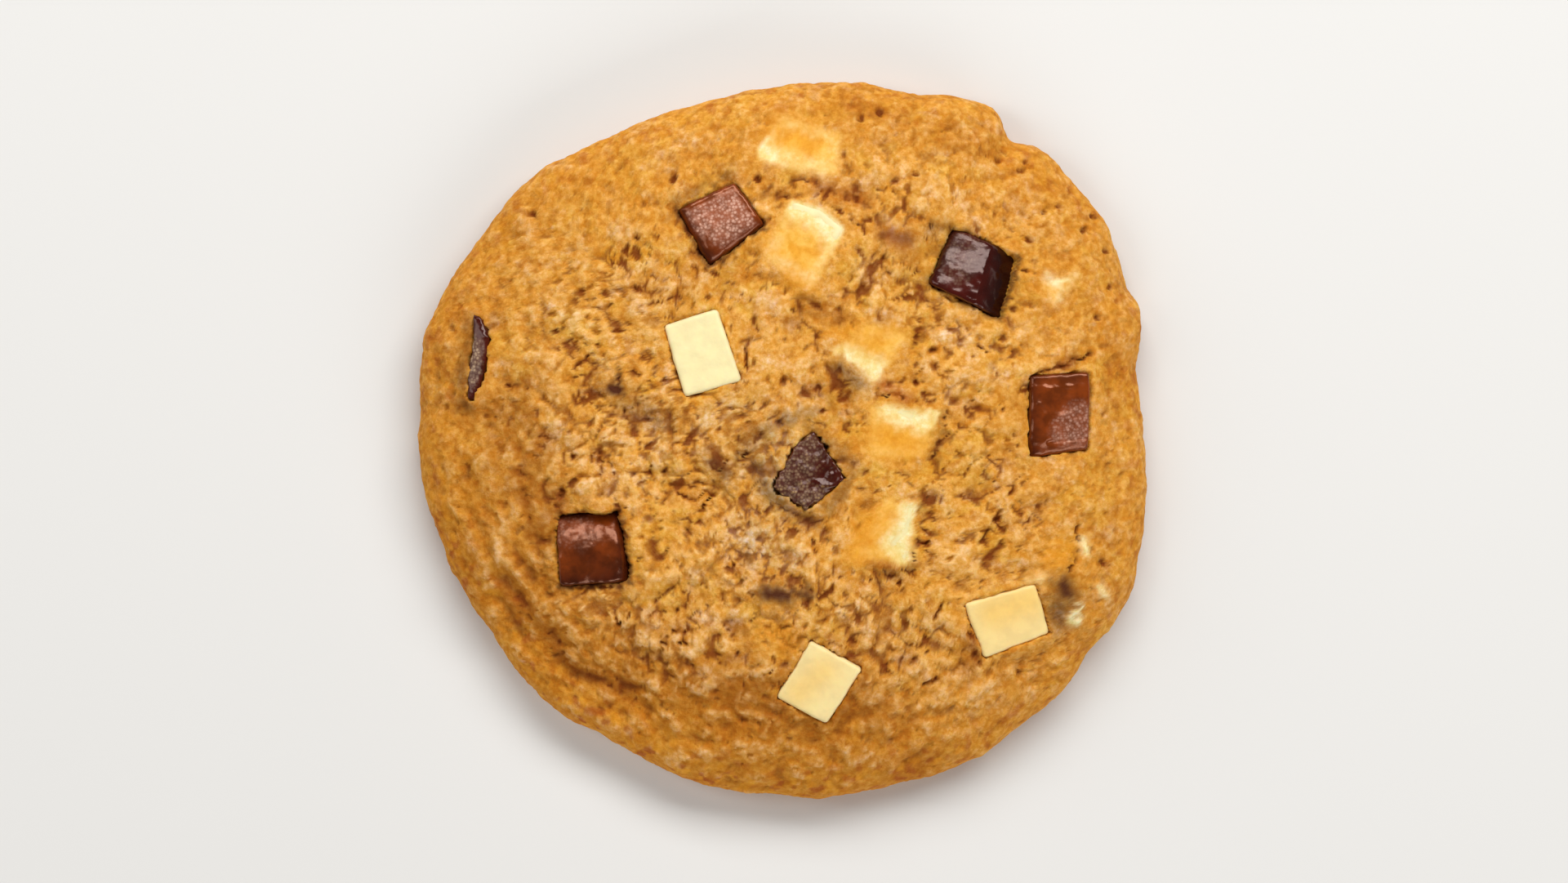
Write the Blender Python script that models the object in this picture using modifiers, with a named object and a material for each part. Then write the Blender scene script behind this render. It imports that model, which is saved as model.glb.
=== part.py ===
"""Triple chocolate cookie: a thick baked dough round with white, milk and dark chocolate chunks.

The cookie rests flat on z = 0 with the middle of its underside at the origin. +X is its right
side and +Y its upper side, seen from above with the chunks facing the viewer.
"""

import math
from collections import namedtuple

import bmesh
import bpy
import numpy as np
from mathutils import Matrix, Vector, noise

MM = 0.001

# Dough: the height in the middle, the height of its widest line, and the roundings.
COOKIE_HEIGHT = 12.6 * MM
WIDEST_HEIGHT = 2.8 * MM
DOME_POWER = 3.3
BASE_INSET = 1.7 * MM
BASE_TRIM = 0.15 * MM
MEAN_RADIUS = 44.6 * MM

# Outline seen from above: bearing in degrees from +X, and reach from the middle in millimetres.
# 20 and 164 are the two blunt corners, and 53 is the notch in the upper right edge.
OUTLINE = (
    (0, 43.9), (6, 43.6), (12, 44.1), (17, 45.6), (20.5, 46.3), (24, 45.9), (30, 46.8), (36, 47.3),
    (42, 46.9), (49, 47.2), (53, 45.8), (57, 47.8), (63, 47.1), (69, 45.6), (76, 45.0), (84, 43.9),
    (92, 43.2), (103, 42.7), (115, 42.9), (126, 43.3), (132, 44.2), (142, 44.5), (150, 44.9),
    (158, 45.6), (164, 46.0), (168, 45.3), (175, 44.7), (187, 44.6), (198, 43.7), (213, 43.0),
    (226, 43.2), (242, 42.4), (253, 43.1), (265, 43.4), (275, 44.0), (286, 43.9), (298, 44.9),
    (317, 45.6), (326, 45.3), (336, 46.3), (343, 45.5), (352, 44.9),
)

# Crags: broad hummocks all over, and sharper lumps that grow towards the middle.
HUMMOCK_SPACING = 12.0 * MM
HUMMOCK_HEIGHT = 0.55 * MM
CRAG_SPACING = 4.6 * MM
CRAG_HEIGHT = 0.50 * MM
RIM_CRAG_SHARE = 0.30
RIM_START = 0.62
RIM_END = 0.86
NOISE_SEED = 7.0

# Mesh of the dough before and after its flat stretches are thinned out.
GRID_STEPS = 150
DOUGH_TRIANGLES = 8600
PROFILE_STEPS = 361

# Chunks: cut blocks with softened edges, each in a pocket that is a little wider.
CHUNK_DEPTH = 4.6 * MM
CHIP_DEPTH = 2.2 * MM
EDGE_ROUNDING = 0.45 * MM
CHIP_ROUNDING = 0.22 * MM
POCKET_GAP = 0.30 * MM
POCKET_OPENING = 4.0 * MM

Crack = namedtuple("Crack", "path width depth")
Chunk = namedtuple("Chunk", "name kind corners proud ridge", defaults=(None,))
Ridge = namedtuple("Ridge", "start end height")
Chocolate = namedtuple("Chocolate", "colour roughness")

# Cracks, creases and dents in the top, as paths in millimetres from the middle.
CRACKS = (
    Crack(((-34.1, -18.0), (-31.3, -21.4), (-28.9, -24.1), (-26.1, -27.2), (-21.5, -29.6),
           (-18.5, -30.5)), 1.5, 0.85),
    Crack(((-25.6, 8.9), (-23.3, 10.7), (-22.2, 12.8), (-19.9, 13.5)), 0.6, 0.8),
    Crack(((-18.5, 18.3), (-16.9, 16.4), (-12.8, 17.3)), 0.6, 0.7),
    Crack(((28.2, -5.2), (26.6, -7.6), (25.5, -9.5), (23.9, -12.5)), 0.7, 0.9),
    Crack(((19.8, -19.5), (17.0, -23.3)), 0.6, 0.8),
    Crack(((-15.7, -24.6), (-11.2, -24.8)), 0.6, 0.7),
    Crack(((-2.5, -28.3), (-0.2, -27.4)), 0.5, 0.6),
    Crack(((-23.4, -4.5), (-19.9, -4.5)), 0.6, 0.7),
    Crack(((17.6, -6.6), (16.4, -8.3)), 0.5, 0.6),
    Crack(((-1.0, 29.8), (2.8, 28.9), (8.8, 25.6)), 0.6, 0.8),
    Crack(((0.1, 31.9), (4.0, 31.5)), 0.5, 0.7),
    Crack(((19.6, 4.4), (19.4, 0.6), (18.0, -2.2)), 0.5, 0.8),
    Crack(((33.1, 8.2), (34.3, 9.4), (36.6, 10.1)), 0.5, 0.8),
    Crack(((28.7, 20.7), (31.1, 20.1)), 0.5, 0.6),
    Crack(((-5.0, 11.3), (-4.7, 9.2)), 0.6, 0.9),
)

WHITE = "white_chocolate"
MILK = "milk_chocolate"
DARK = "dark_chocolate"

CHOCOLATES = {
    WHITE: Chocolate((0.94, 0.70, 0.36), 0.45),
    MILK: Chocolate((0.19, 0.065, 0.028), 0.35),
    DARK: Chocolate((0.070, 0.024, 0.014), 0.30),
}
DOUGH_COLOUR = (0.56, 0.27, 0.068)
DOUGH_ROUGHNESS = 0.80

# Chunks that show, by the corners of their tops in millimetres from the middle, anticlockwise.
# proud is how far a top stands over the dough round it, in millimetres.
CHUNKS = (
    Chunk("milk_chunk_upper", MILK,
          ((-13.2, 28.1), (-9.3, 21.1), (-2.4, 26.2), (-6.1, 31.5)), 0.5),
    Chunk("milk_chunk_right", MILK,
          ((29.7, 7.9), (29.6, -2.3), (37.0, -1.1), (37.1, 8.4)), 0.5,
          Ridge((29.7, 6.4), (37.1, 6.4), 0.4)),
    Chunk("milk_chunk_left", MILK,
          ((-27.9, -9.0), (-27.4, -17.8), (-18.9, -17.2), (-20.2, -8.4)), 0.4),
    Chunk("dark_chunk_upper_right", DARK,
          ((20.4, 26.1), (17.3, 19.1), (26.3, 14.6), (28.5, 22.4)), 0.5,
          Ridge((25.2, 24.3), (23.4, 18.0), 0.6)),
    Chunk("dark_chunk_centre", DARK,
          ((3.5, 1.4), (1.0, -0.7), (-1.8, -5.7), (2.5, -8.7), (7.5, -4.7)), 0.4),
    Chunk("dark_sliver_left", DARK,
          ((-38.2, 15.6), (-38.1, 12.4), (-38.7, 8.8), (-38.8, 4.9), (-37.5, 4.8), (-36.5, 8.6),
           (-36.0, 12.6), (-37.0, 15.2)), 0.3),
    Chunk("white_chunk_upper_left", WHITE,
          ((-14.8, 14.0), (-12.2, 5.2), (-5.2, 7.2), (-8.2, 16.0)), 0.5),
    Chunk("white_chunk_lower", WHITE,
          ((-1.2, -31.3), (5.1, -34.6), (9.5, -27.8), (3.1, -24.2)), 0.5),
    Chunk("white_chunk_lower_right", WHITE,
          ((21.7, -19.8), (24.2, -26.6), (32.3, -23.5), (30.5, -17.3)), 0.4),
    Chunk("white_chunk_rim", WHITE,
          ((-3.7, 35.1), (-3.0, 33.9), (6.2, 32.1), (6.9, 37.2), (-0.3, 39.4)), 0.2),
    Chunk("white_chunk_upper", WHITE,
          ((0.7, 29.3), (-0.8, 26.4), (-2.7, 22.2), (3.3, 18.0), (7.4, 25.8), (4.4, 28.2)), 0.2),
    Chunk("white_chunk_mid_upper", WHITE,
          ((5.5, 11.0), (11.2, 7.3), (14.1, 11.1), (14.9, 13.0), (10.3, 14.2)), 0.2),
    Chunk("white_chunk_mid_right", WHITE,
          ((10.2, 4.4), (10.2, -2.1), (16.8, -2.1), (19.0, 3.6)), 0.2),
    Chunk("white_chunk_mid_lower", WHITE,
          ((12.3, -7.0), (7.6, -14.2), (14.9, -15.2), (16.0, -7.4)), 0.2),
)

# Tips of chunks that lie deeper in the dough.
CHIPS = (
    Chunk("white_chip_right", WHITE, ((31.0, 19.4), (32.4, 15.9), (35.1, 19.8)), 0.1),
    Chunk("milk_chip_upper_right", MILK,
          ((12.5, 25.6), (12.9, 22.9), (15.2, 22.8), (15.8, 25.2)), 0.1),
    Chunk("dark_chip_lower_right", DARK,
          ((32.8, -16.8), (32.9, -19.2), (35.0, -19.5), (35.3, -17.2)), 0.2),
    Chunk("dark_chip_left", DARK,
          ((-21.2, 6.3), (-20.9, 5.0), (-19.2, 5.3), (-19.4, 6.5)), 0.1),
    Chunk("dark_chip_lower", DARK,
          ((-2.9, -18.3), (-2.5, -19.7), (1.4, -19.5), (1.2, -18.6)), 0.1),
)


def clear_scene():
    """Remove whatever the scene starts with."""
    for obj in list(bpy.data.objects):
        bpy.data.objects.remove(obj, do_unlink=True)


def new_collection(name):
    """Add a collection to the scene."""
    collection = bpy.data.collections.new(name)
    bpy.context.scene.collection.children.link(collection)
    return collection


def food_material(name, colour, roughness):
    """A Principled material of one colour, which is linear."""
    material = bpy.data.materials.new(name)
    material.use_nodes = True
    shader = material.node_tree.nodes["Principled BSDF"]
    shader.inputs["Base Color"].default_value = (*colour, 1.0)
    shader.inputs["Roughness"].default_value = roughness
    shader.inputs["Metallic"].default_value = 0.0
    return material


def smooth_step(low, high, value):
    """0 below low, 1 above high, and an S-curve between them."""
    t = np.clip((value - low) / (high - low), 0.0, 1.0)
    return t * t * (3.0 - 2.0 * t)


def outline_reach(bearing):
    """Distance from the middle to the edge at bearings in radians, along a smooth closed curve."""
    angles = np.radians([point[0] for point in OUTLINE])
    reaches = np.array([point[1] for point in OUTLINE]) * MM
    knots = np.concatenate([angles[-2:] - math.tau, angles, angles[:2] + math.tau])
    values = np.concatenate([reaches[-2:], reaches, reaches[:2]])
    slopes = np.gradient(values, knots)
    turned = np.mod(bearing, math.tau)
    at = np.clip(np.searchsorted(knots, turned, side="right") - 1, 0, len(knots) - 2)
    span = knots[at + 1] - knots[at]
    t = (turned - knots[at]) / span
    bend_in = t * (1.0 - t) ** 2 * slopes[at] * span
    bend_out = t * t * (t - 1.0) * slopes[at + 1] * span
    rise = t * t * (3.0 - 2.0 * t)
    return values[at] * (1.0 - rise) + values[at + 1] * rise + bend_in + bend_out


def outline_middle():
    """Centre of the box round the outline, which is put on the origin."""
    bearing = np.linspace(0.0, math.tau, 1440, endpoint=False)
    reach = outline_reach(bearing)
    x = reach * np.cos(bearing)
    y = reach * np.sin(bearing)
    return (x.max() + x.min()) / 2.0, (y.max() + y.min()) / 2.0


def dome_height(share):
    """Height of the smooth dome where share is the distance out, from 0 in the middle to 1."""
    crown = np.sqrt(np.clip(1.0 - np.clip(share, 0.0, 1.0) ** DOME_POWER, 0.0, 1.0))
    return WIDEST_HEIGHT + (COOKIE_HEIGHT - WIDEST_HEIGHT) * crown


def side_profile():
    """The turned profile from the middle of the top, over the shoulder and under the rim.

    Returns the share of the outline's reach, the height, and the outward normal along it, at
    places that are evenly spaced along the curve.
    """
    angle = np.linspace(0.0, math.pi, 2001)
    over = np.sin(angle) ** (2.0 / DOME_POWER)
    under = 1.0 - BASE_INSET / MEAN_RADIUS * (1.0 - np.sin(angle))
    share = np.where(angle <= math.pi / 2.0, over, under)
    low = (WIDEST_HEIGHT + BASE_TRIM) * (1.0 + np.cos(angle)) - BASE_TRIM
    height = np.where(angle <= math.pi / 2.0, dome_height(share), low)
    length = np.hypot(np.diff(share * MEAN_RADIUS), np.diff(height))
    along = np.concatenate([[0.0], np.cumsum(length)])
    even = np.linspace(0.0, along[-1], PROFILE_STEPS)
    share = np.interp(even, along, share)
    height = np.interp(even, along, height)
    run = np.gradient(share * MEAN_RADIUS)
    drop = -np.gradient(height)
    size = np.hypot(run, drop)
    return share, height, drop / size, run / size


def distance_to_path(x, y, path):
    """Distance from each place to a path of points in millimetres, in metres."""
    nearest = np.full(x.shape, np.inf)
    points = np.array(path) * MM
    for start, end in zip(points[:-1], points[1:]):
        step = end - start
        t = ((x - start[0]) * step[0] + (y - start[1]) * step[1]) / (step @ step)
        t = np.clip(t, 0.0, 1.0)
        nearest = np.minimum(nearest, np.hypot(x - start[0] - t * step[0],
                                               y - start[1] - t * step[1]))
    return nearest


def bumps(x, y, spacing, seed):
    """Seeded smooth noise between about -1 and 1."""
    return np.array([noise.noise(Vector((a, b, seed))) for a, b in zip(x / spacing, y / spacing)])


def crags(x, y, share):
    """Height that the baked surface adds to the smooth dome."""
    roughness = RIM_CRAG_SHARE + (1.0 - RIM_CRAG_SHARE) * (
        1.0 - smooth_step(RIM_START, RIM_END, share))
    height = HUMMOCK_HEIGHT * bumps(x, y, HUMMOCK_SPACING, NOISE_SEED)
    height += roughness * CRAG_HEIGHT * bumps(x, y, CRAG_SPACING, NOISE_SEED + 10.0)
    for crack in CRACKS:
        near = distance_to_path(x, y, crack.path) / (crack.width * MM)
        height -= crack.depth * MM * np.exp(-near * near)
    return height


def disc_place(u, v):
    """Carry a square from -1 to 1 onto a disc, keeping areas even. Returns radius and bearing."""
    radius = np.maximum(np.abs(u), np.abs(v))
    safe = np.where(radius > 0.0, radius, 1.0)
    wide = np.abs(u) >= np.abs(v)
    sideways = (math.pi / 4.0) * v / safe * np.sign(u)
    upright = math.pi / 2.0 - (math.pi / 4.0) * u / safe * np.sign(v)
    turn_side = np.where(u < 0.0, math.pi, 0.0)
    turn_up = np.where(v < 0.0, math.pi, 0.0)
    return radius, np.where(wide, sideways + turn_side, upright + turn_up)


def bake_surface(u, v):
    """Places on the dough's skin for places on a square from -1 to 1."""
    radius, bearing = disc_place(u, v)
    share, height, out, up = side_profile()
    steps = np.linspace(0.0, 1.0, PROFILE_STEPS)
    share = np.interp(radius, steps, share)
    height = np.interp(radius, steps, height)
    out = np.interp(radius, steps, out)
    up = np.interp(radius, steps, up)
    reach = share * outline_reach(bearing)
    x = reach * np.cos(bearing)
    y = reach * np.sin(bearing)
    lift = crags(x, y, share) * smooth_step(0.0, WIDEST_HEIGHT, height)
    middle = outline_middle()
    x = x + lift * out * np.cos(bearing) - middle[0]
    y = y + lift * out * np.sin(bearing) - middle[1]
    return x, y, height + lift * up


def make_dough(collection, material):
    """The baked round: a grid wrapped over the dome and rim, closed and cut flat underneath."""
    bm = bmesh.new()
    bmesh.ops.create_grid(bm, x_segments=GRID_STEPS, y_segments=GRID_STEPS, size=1.0)
    bm.verts.ensure_lookup_table()
    u = np.array([vert.co.x for vert in bm.verts])
    v = np.array([vert.co.y for vert in bm.verts])
    for vert, place in zip(bm.verts, zip(*bake_surface(u, v))):
        vert.co = place
    open_edges = [edge for edge in bm.edges if edge.is_boundary]
    bmesh.ops.edgeloop_fill(bm, edges=open_edges)
    bmesh.ops.recalc_face_normals(bm, faces=bm.faces)
    bmesh.ops.triangulate(bm, faces=bm.faces)
    mesh = bpy.data.meshes.new("dough")
    triangles = len(bm.faces)
    bm.to_mesh(mesh)
    bm.free()
    raw = bpy.data.objects.new("dough_raw", mesh)
    collection.objects.link(raw)
    thin = raw.modifiers.new("thin_out", "DECIMATE")
    thin.ratio = DOUGH_TRIANGLES / triangles
    dough = bpy.data.objects.new("dough", flat_underside(raw))
    bpy.data.objects.remove(raw, do_unlink=True)
    dough.data.materials.append(material)
    dough.data.shade_smooth()
    collection.objects.link(dough)
    return dough


def flat_underside(raw):
    """A copy of the evaluated mesh, cut at z = 0 and closed there with one flat face."""
    graph = bpy.context.evaluated_depsgraph_get()
    mesh = bpy.data.meshes.new_from_object(raw.evaluated_get(graph))
    mesh.name = "dough"
    bm = bmesh.new()
    bm.from_mesh(mesh)
    everything = bm.verts[:] + bm.edges[:] + bm.faces[:]
    bmesh.ops.bisect_plane(bm, geom=everything, plane_co=(0.0, 0.0, 0.0),
                           plane_no=(0.0, 0.0, 1.0), clear_inner=True)
    rim = [edge for edge in bm.edges if edge.is_boundary]
    bmesh.ops.edgeloop_fill(bm, edges=rim)
    bmesh.ops.recalc_face_normals(bm, faces=bm.faces)
    bm.to_mesh(mesh)
    bm.free()
    return mesh


def seat(chunk):
    """Where a chunk sits: a matrix whose XY plane lies along the dough's surface there."""
    middle = np.mean(np.array(chunk.corners), axis=0) * MM
    bearing = math.atan2(middle[1], middle[0])
    reach = float(outline_reach(np.array([bearing]))[0])
    share = math.hypot(*middle) / reach
    step = 0.02
    fall = float(dome_height(share - step) - dome_height(share + step)) / (2.0 * step * reach)
    tilt = Matrix.Rotation(math.atan(fall), 4, Vector((-middle[1], middle[0], 0.0)))
    offset = outline_middle()
    height = float(dome_height(share)) + chunk.proud * MM
    place = Vector((middle[0] - offset[0], middle[1] - offset[1], height))
    return Matrix.Translation(place) @ tilt


def flat_outline(chunk, matrix):
    """The chunk's corners in its own XY plane, so that they show at their places from above."""
    offset = outline_middle()
    normal = matrix.to_3x3() @ Vector((0.0, 0.0, 1.0))
    origin = matrix.translation
    back = matrix.inverted()
    outline = []
    for x, y in chunk.corners:
        flat = Vector((x * MM - offset[0], y * MM - offset[1], 0.0))
        run = flat - Vector((origin.x, origin.y, 0.0))
        flat.z = origin.z - (normal.x * run.x + normal.y * run.y) / normal.z
        outline.append((back @ flat).to_2d())
    return outline


def grown(outline, gap):
    """The same outline with every side moved out by the gap."""
    wider = []
    for before, here, after in zip(outline[-1:] + outline[:-1], outline, outline[1:] + outline[:1]):
        arriving = (here - before).normalized()
        leaving = (after - here).normalized()
        out_in = Vector((arriving.y, -arriving.x))
        out_next = Vector((leaving.y, -leaving.x))
        corner = out_in + out_next
        wider.append(here + corner * (gap / (1.0 + out_in.dot(out_next))))
    return wider


def slab(name, outline, low, high, collection, matrix):
    """A flat outline extruded between two heights of its own frame, as a welded mesh."""
    curve = bpy.data.curves.new(name, "CURVE")
    curve.dimensions = "2D"
    curve.fill_mode = "BOTH"
    curve.extrude = (high - low) / 2.0
    spline = curve.splines.new("POLY")
    spline.points.add(len(outline) - 1)
    for point, corner in zip(spline.points, outline):
        point.co = (corner.x, corner.y, 0.0, 1.0)
    spline.use_cyclic_u = True
    drawn = bpy.data.objects.new(name + "_outline", curve)
    collection.objects.link(drawn)
    graph = bpy.context.evaluated_depsgraph_get()
    mesh = bpy.data.meshes.new_from_object(drawn.evaluated_get(graph))
    mesh.name = name
    bpy.data.objects.remove(drawn, do_unlink=True)
    bm = bmesh.new()
    bm.from_mesh(mesh)
    bmesh.ops.remove_doubles(bm, verts=bm.verts, dist=0.01 * MM)
    bmesh.ops.translate(bm, verts=bm.verts, vec=(0.0, 0.0, (high + low) / 2.0))
    bmesh.ops.dissolve_limit(bm, angle_limit=math.radians(1.0), verts=bm.verts, edges=bm.edges)
    bmesh.ops.recalc_face_normals(bm, faces=bm.faces)
    bm.to_mesh(mesh)
    bm.free()
    obj = bpy.data.objects.new(name, mesh)
    collection.objects.link(obj)
    obj.matrix_world = matrix
    return obj


def raise_ridge(obj, ridge):
    """Fold a chunk's top up along a line, like the moulded ridge of a broken bar."""
    offset = Vector((*outline_middle(), 0.0))
    start = Vector((*ridge.start, 0.0)) * MM - offset
    end = Vector((*ridge.end, 0.0)) * MM - offset
    back = obj.matrix_world.inverted().to_3x3()
    across = back @ (end - start).cross(Vector((0.0, 0.0, 1.0)))
    across.z = 0.0
    bm = bmesh.new()
    bm.from_mesh(obj.data)
    everything = bm.verts[:] + bm.edges[:] + bm.faces[:]
    cut = bmesh.ops.bisect_plane(bm, geom=everything, plane_no=across.normalized(),
                                 plane_co=obj.matrix_world.inverted() @ (
                                     start + Vector((0.0, 0.0, obj.location.z))))
    for item in cut["geom_cut"]:
        if isinstance(item, bmesh.types.BMVert) and item.co.z > -EDGE_ROUNDING:
            item.co.z += ridge.height * MM
    bmesh.ops.recalc_face_normals(bm, faces=bm.faces)
    bm.to_mesh(obj.data)
    bm.free()


def make_chunk(chunk, depth, rounding, chunks, cutters, material):
    """One chunk of chocolate, and the cutter that opens its pocket in the dough."""
    matrix = seat(chunk)
    outline = flat_outline(chunk, matrix)
    block = slab(chunk.name, outline, -depth, 0.0, chunks, matrix)
    if chunk.ridge:
        raise_ridge(block, chunk.ridge)
    block.data.materials.append(material)
    edges = block.modifiers.new("softened_edges", "BEVEL")
    edges.width = rounding
    edges.segments = 2
    edges.limit_method = "ANGLE"
    edges.angle_limit = math.radians(30.0)
    wide = grown(outline, POCKET_GAP)
    cutter = slab(chunk.name + "_pocket", wide, -depth - POCKET_GAP, POCKET_OPENING, cutters,
                  matrix)
    cutter.hide_render = True
    cutter.display_type = "WIRE"


def main():
    """Build the cookie."""
    clear_scene()
    cookie = new_collection("triple_chocolate_cookie")
    cutters = new_collection("pocket_cutters")
    materials = {kind: food_material(kind, *chocolate) for kind, chocolate in CHOCOLATES.items()}
    dough = make_dough(cookie, food_material("baked_dough", DOUGH_COLOUR, DOUGH_ROUGHNESS))
    for chunk in CHUNKS:
        make_chunk(chunk, CHUNK_DEPTH, EDGE_ROUNDING, cookie, cutters, materials[chunk.kind])
    for chip in CHIPS:
        make_chunk(chip, CHIP_DEPTH, CHIP_ROUNDING, cookie, cutters, materials[chip.kind])
    pockets = dough.modifiers.new("pockets", "BOOLEAN")
    pockets.operation = "DIFFERENCE"
    pockets.operand_type = "COLLECTION"
    pockets.collection = cutters


main()
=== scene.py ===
"""Triple chocolate cookie: the baked skin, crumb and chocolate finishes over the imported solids.

Lengths are in metres unless a name ends in _mm. Places on the cookie are seen from above, with
+X to the right and +Y to the upper edge.
"""

import logging
import math
from dataclasses import dataclass, field
from enum import Enum

import bpy
import numpy as np
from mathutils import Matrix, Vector, noise


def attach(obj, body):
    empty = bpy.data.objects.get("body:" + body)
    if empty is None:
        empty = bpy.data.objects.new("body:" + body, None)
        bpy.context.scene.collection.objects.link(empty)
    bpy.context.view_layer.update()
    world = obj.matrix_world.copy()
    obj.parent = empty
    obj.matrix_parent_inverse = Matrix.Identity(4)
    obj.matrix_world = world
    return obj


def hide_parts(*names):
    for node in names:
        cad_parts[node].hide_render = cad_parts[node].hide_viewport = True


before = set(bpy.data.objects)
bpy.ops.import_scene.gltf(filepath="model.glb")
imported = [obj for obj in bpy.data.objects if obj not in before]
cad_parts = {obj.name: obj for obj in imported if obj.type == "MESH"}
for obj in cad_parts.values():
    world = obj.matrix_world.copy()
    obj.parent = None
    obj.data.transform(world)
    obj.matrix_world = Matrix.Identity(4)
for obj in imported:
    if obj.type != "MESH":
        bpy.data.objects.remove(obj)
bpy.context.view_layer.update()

LOG = logging.getLogger("cookie")
MM = 0.001
Array = np.ndarray
Places = tuple[tuple[float, float], ...]

# How hard darkening, by random tone or by painted shade, takes red, green and blue.
DARKENING_POWERS = (0.45, 1.0, 3.0)

# Reading a chunk's top off its solid: how level its faces are, how deep it reaches, and how near
# the outline its upper edge lies.
TOP_LEVEL = 0.7
TOP_DEPTH = 1.2 * MM
EDGE_NEAR = 0.04 * MM


class Kind(Enum):
    """The three chocolates, by the record's material slots."""

    WHITE = "white_chocolate"
    MILK = "milk_chocolate"
    DARK = "dark_chocolate"


def linear(code: str) -> tuple[float, float, float, float]:
    """Turn an sRGB hex colour into the linear values that shaders take.

    Args:
        code: Six hex digits, such as "E3A24C".

    Returns:
        Linear red, green and blue, and 1 as the fourth channel.
    """
    channels = [int(code[i : i + 2], 16) / 255.0 for i in (0, 2, 4)]
    straight = [c / 12.92 if c <= 0.04045 else ((c + 0.055) / 1.055) ** 2.4 for c in channels]
    return (*straight, 1.0)


def per_mm(size_mm: float) -> float:
    """Scale of a procedural pattern whose features are size_mm apart."""
    return 1.0 / (size_mm * MM)


def tone_and_shade_tint(factor: float) -> tuple[float, float, float, float]:
    """Multiplier for a paler or darker place, by random tone or by painted shade: darkening takes blue
    first, then green, then red.
    """
    return (*(factor ** power for power in DARKENING_POWERS), 1.0)


def smooth_step(low: float, high: float, value: Array) -> Array:
    """0 below low, 1 above high and an S-curve between them."""
    t = np.clip((value - low) / (high - low), 0.0, 1.0)
    return t * t * (3.0 - 2.0 * t)


def bumps(x: Array, y: Array, spacing: float, seed: float) -> Array:
    """Smooth seeded noise over plan places.

    Args:
        x: Places along X.
        y: Places along Y.
        spacing: Distance between one lump and the next.
        seed: Height of the slice through the noise, so each seed gives another field.

    Returns:
        Values between about -1 and 1.
    """
    flat = zip((x / spacing).ravel(), (y / spacing).ravel())
    values = np.array([noise.noise(Vector((a, b, seed))) for a, b in flat])
    return values.reshape(x.shape)


def solid_noise(places: Array, spacing: float, seed: float) -> Array:
    """Smooth seeded noise through space, so that it doesn't stretch down the rim.

    Args:
        places: Places in rows of X, Y and Z.
        spacing: Distance between one lump and the next.
        seed: Shift along Z in lumps, so each seed gives another field.

    Returns:
        One value between about -1 and 1 for each row.
    """
    rows = places / spacing + np.array((0.0, 0.0, seed))
    return np.array([noise.noise(Vector(row)) for row in rows])


def seam_distance(places: Array, spacing: float, seed: float) -> Array:
    """How far each place is from the seams between lumps that are packed through space.

    Args:
        places: Places in rows of X, Y and Z.
        spacing: Distance between one lump and the next.
        seed: Shift along Z in lumps, so each seed gives another packing.

    Returns:
        How much further the next lump's middle is than its own, in lumps: 0 on a seam.
    """
    rows = places / spacing + np.array((0.0, 0.0, seed))
    reach = np.array([noise.voronoi(Vector(row))[0][:2] for row in rows])
    return reach[:, 1] - reach[:, 0]


def softened(values: Array, reach: int) -> Array:
    """Blur a grid with two passes of a box filter of reach steps each way."""
    width = 2 * reach + 1
    for _ in range(2):
        for axis in (0, 1):
            pad = [(reach + 1, reach) if a == axis else (0, 0) for a in (0, 1)]
            total = np.cumsum(np.pad(values, pad, mode="edge"), axis=axis)
            ahead = np.take(total, range(width, total.shape[axis]), axis=axis)
            behind = np.take(total, range(0, total.shape[axis] - width), axis=axis)
            values = (ahead - behind) / width
    return values


def distance_to_path(x: Array, y: Array, path_mm: Places, closed: bool = False) -> Array:
    """Distance from each place to a path.

    Args:
        x: Places along X.
        y: Places along Y.
        path_mm: Corners of the path in millimetres.
        closed: True if the last corner joins the first.

    Returns:
        Distances in metres.
    """
    points = np.array(path_mm) * MM
    if closed:
        points = np.vstack([points, points[:1]])
    nearest = np.full(x.shape, np.inf)
    for start, end in zip(points[:-1], points[1:]):
        step = end - start
        t = ((x - start[0]) * step[0] + (y - start[1]) * step[1]) / max(step @ step, 1e-12)
        t = np.clip(t, 0.0, 1.0)
        near = np.hypot(x - start[0] - t * step[0], y - start[1] - t * step[1])
        nearest = np.minimum(nearest, near)
    return nearest


@dataclass(frozen=True)
class Stroke:
    """A line drawn on the top: a path in millimetres from the middle, its reach and strength.

    The strength of a crack, groove or ridge is its depth in millimetres, negative for a ridge.
    The strength of a tint is a share from 0 to 1.
    """

    path_mm: Places
    reach_mm: float
    strength: float

    def spread(self, x: Array, y: Array) -> Array:
        """The stroke's strength at places in metres, fading smoothly past its reach."""
        near = distance_to_path(x, y, self.path_mm) / (self.reach_mm * MM)
        return self.strength * np.exp(-near * near)


@dataclass(frozen=True)
class Facet:
    """A plane that a chunk's top falls along, to the right of a line in millimetres."""

    start_mm: tuple[float, float]
    end_mm: tuple[float, float]
    slope: float
    softness_mm: float = 0.25

    def fall(self, x: Array, y: Array) -> Array:
        """How far the facet lies under the top, in metres."""
        start = np.array(self.start_mm) * MM
        step = np.array(self.end_mm) * MM - start
        past = ((x - start[0]) * step[1] - (y - start[1]) * step[0]) / np.hypot(*step)
        soft = self.softness_mm * MM
        return self.slope * 0.5 * (past + np.sqrt(past * past + soft * soft))


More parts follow.
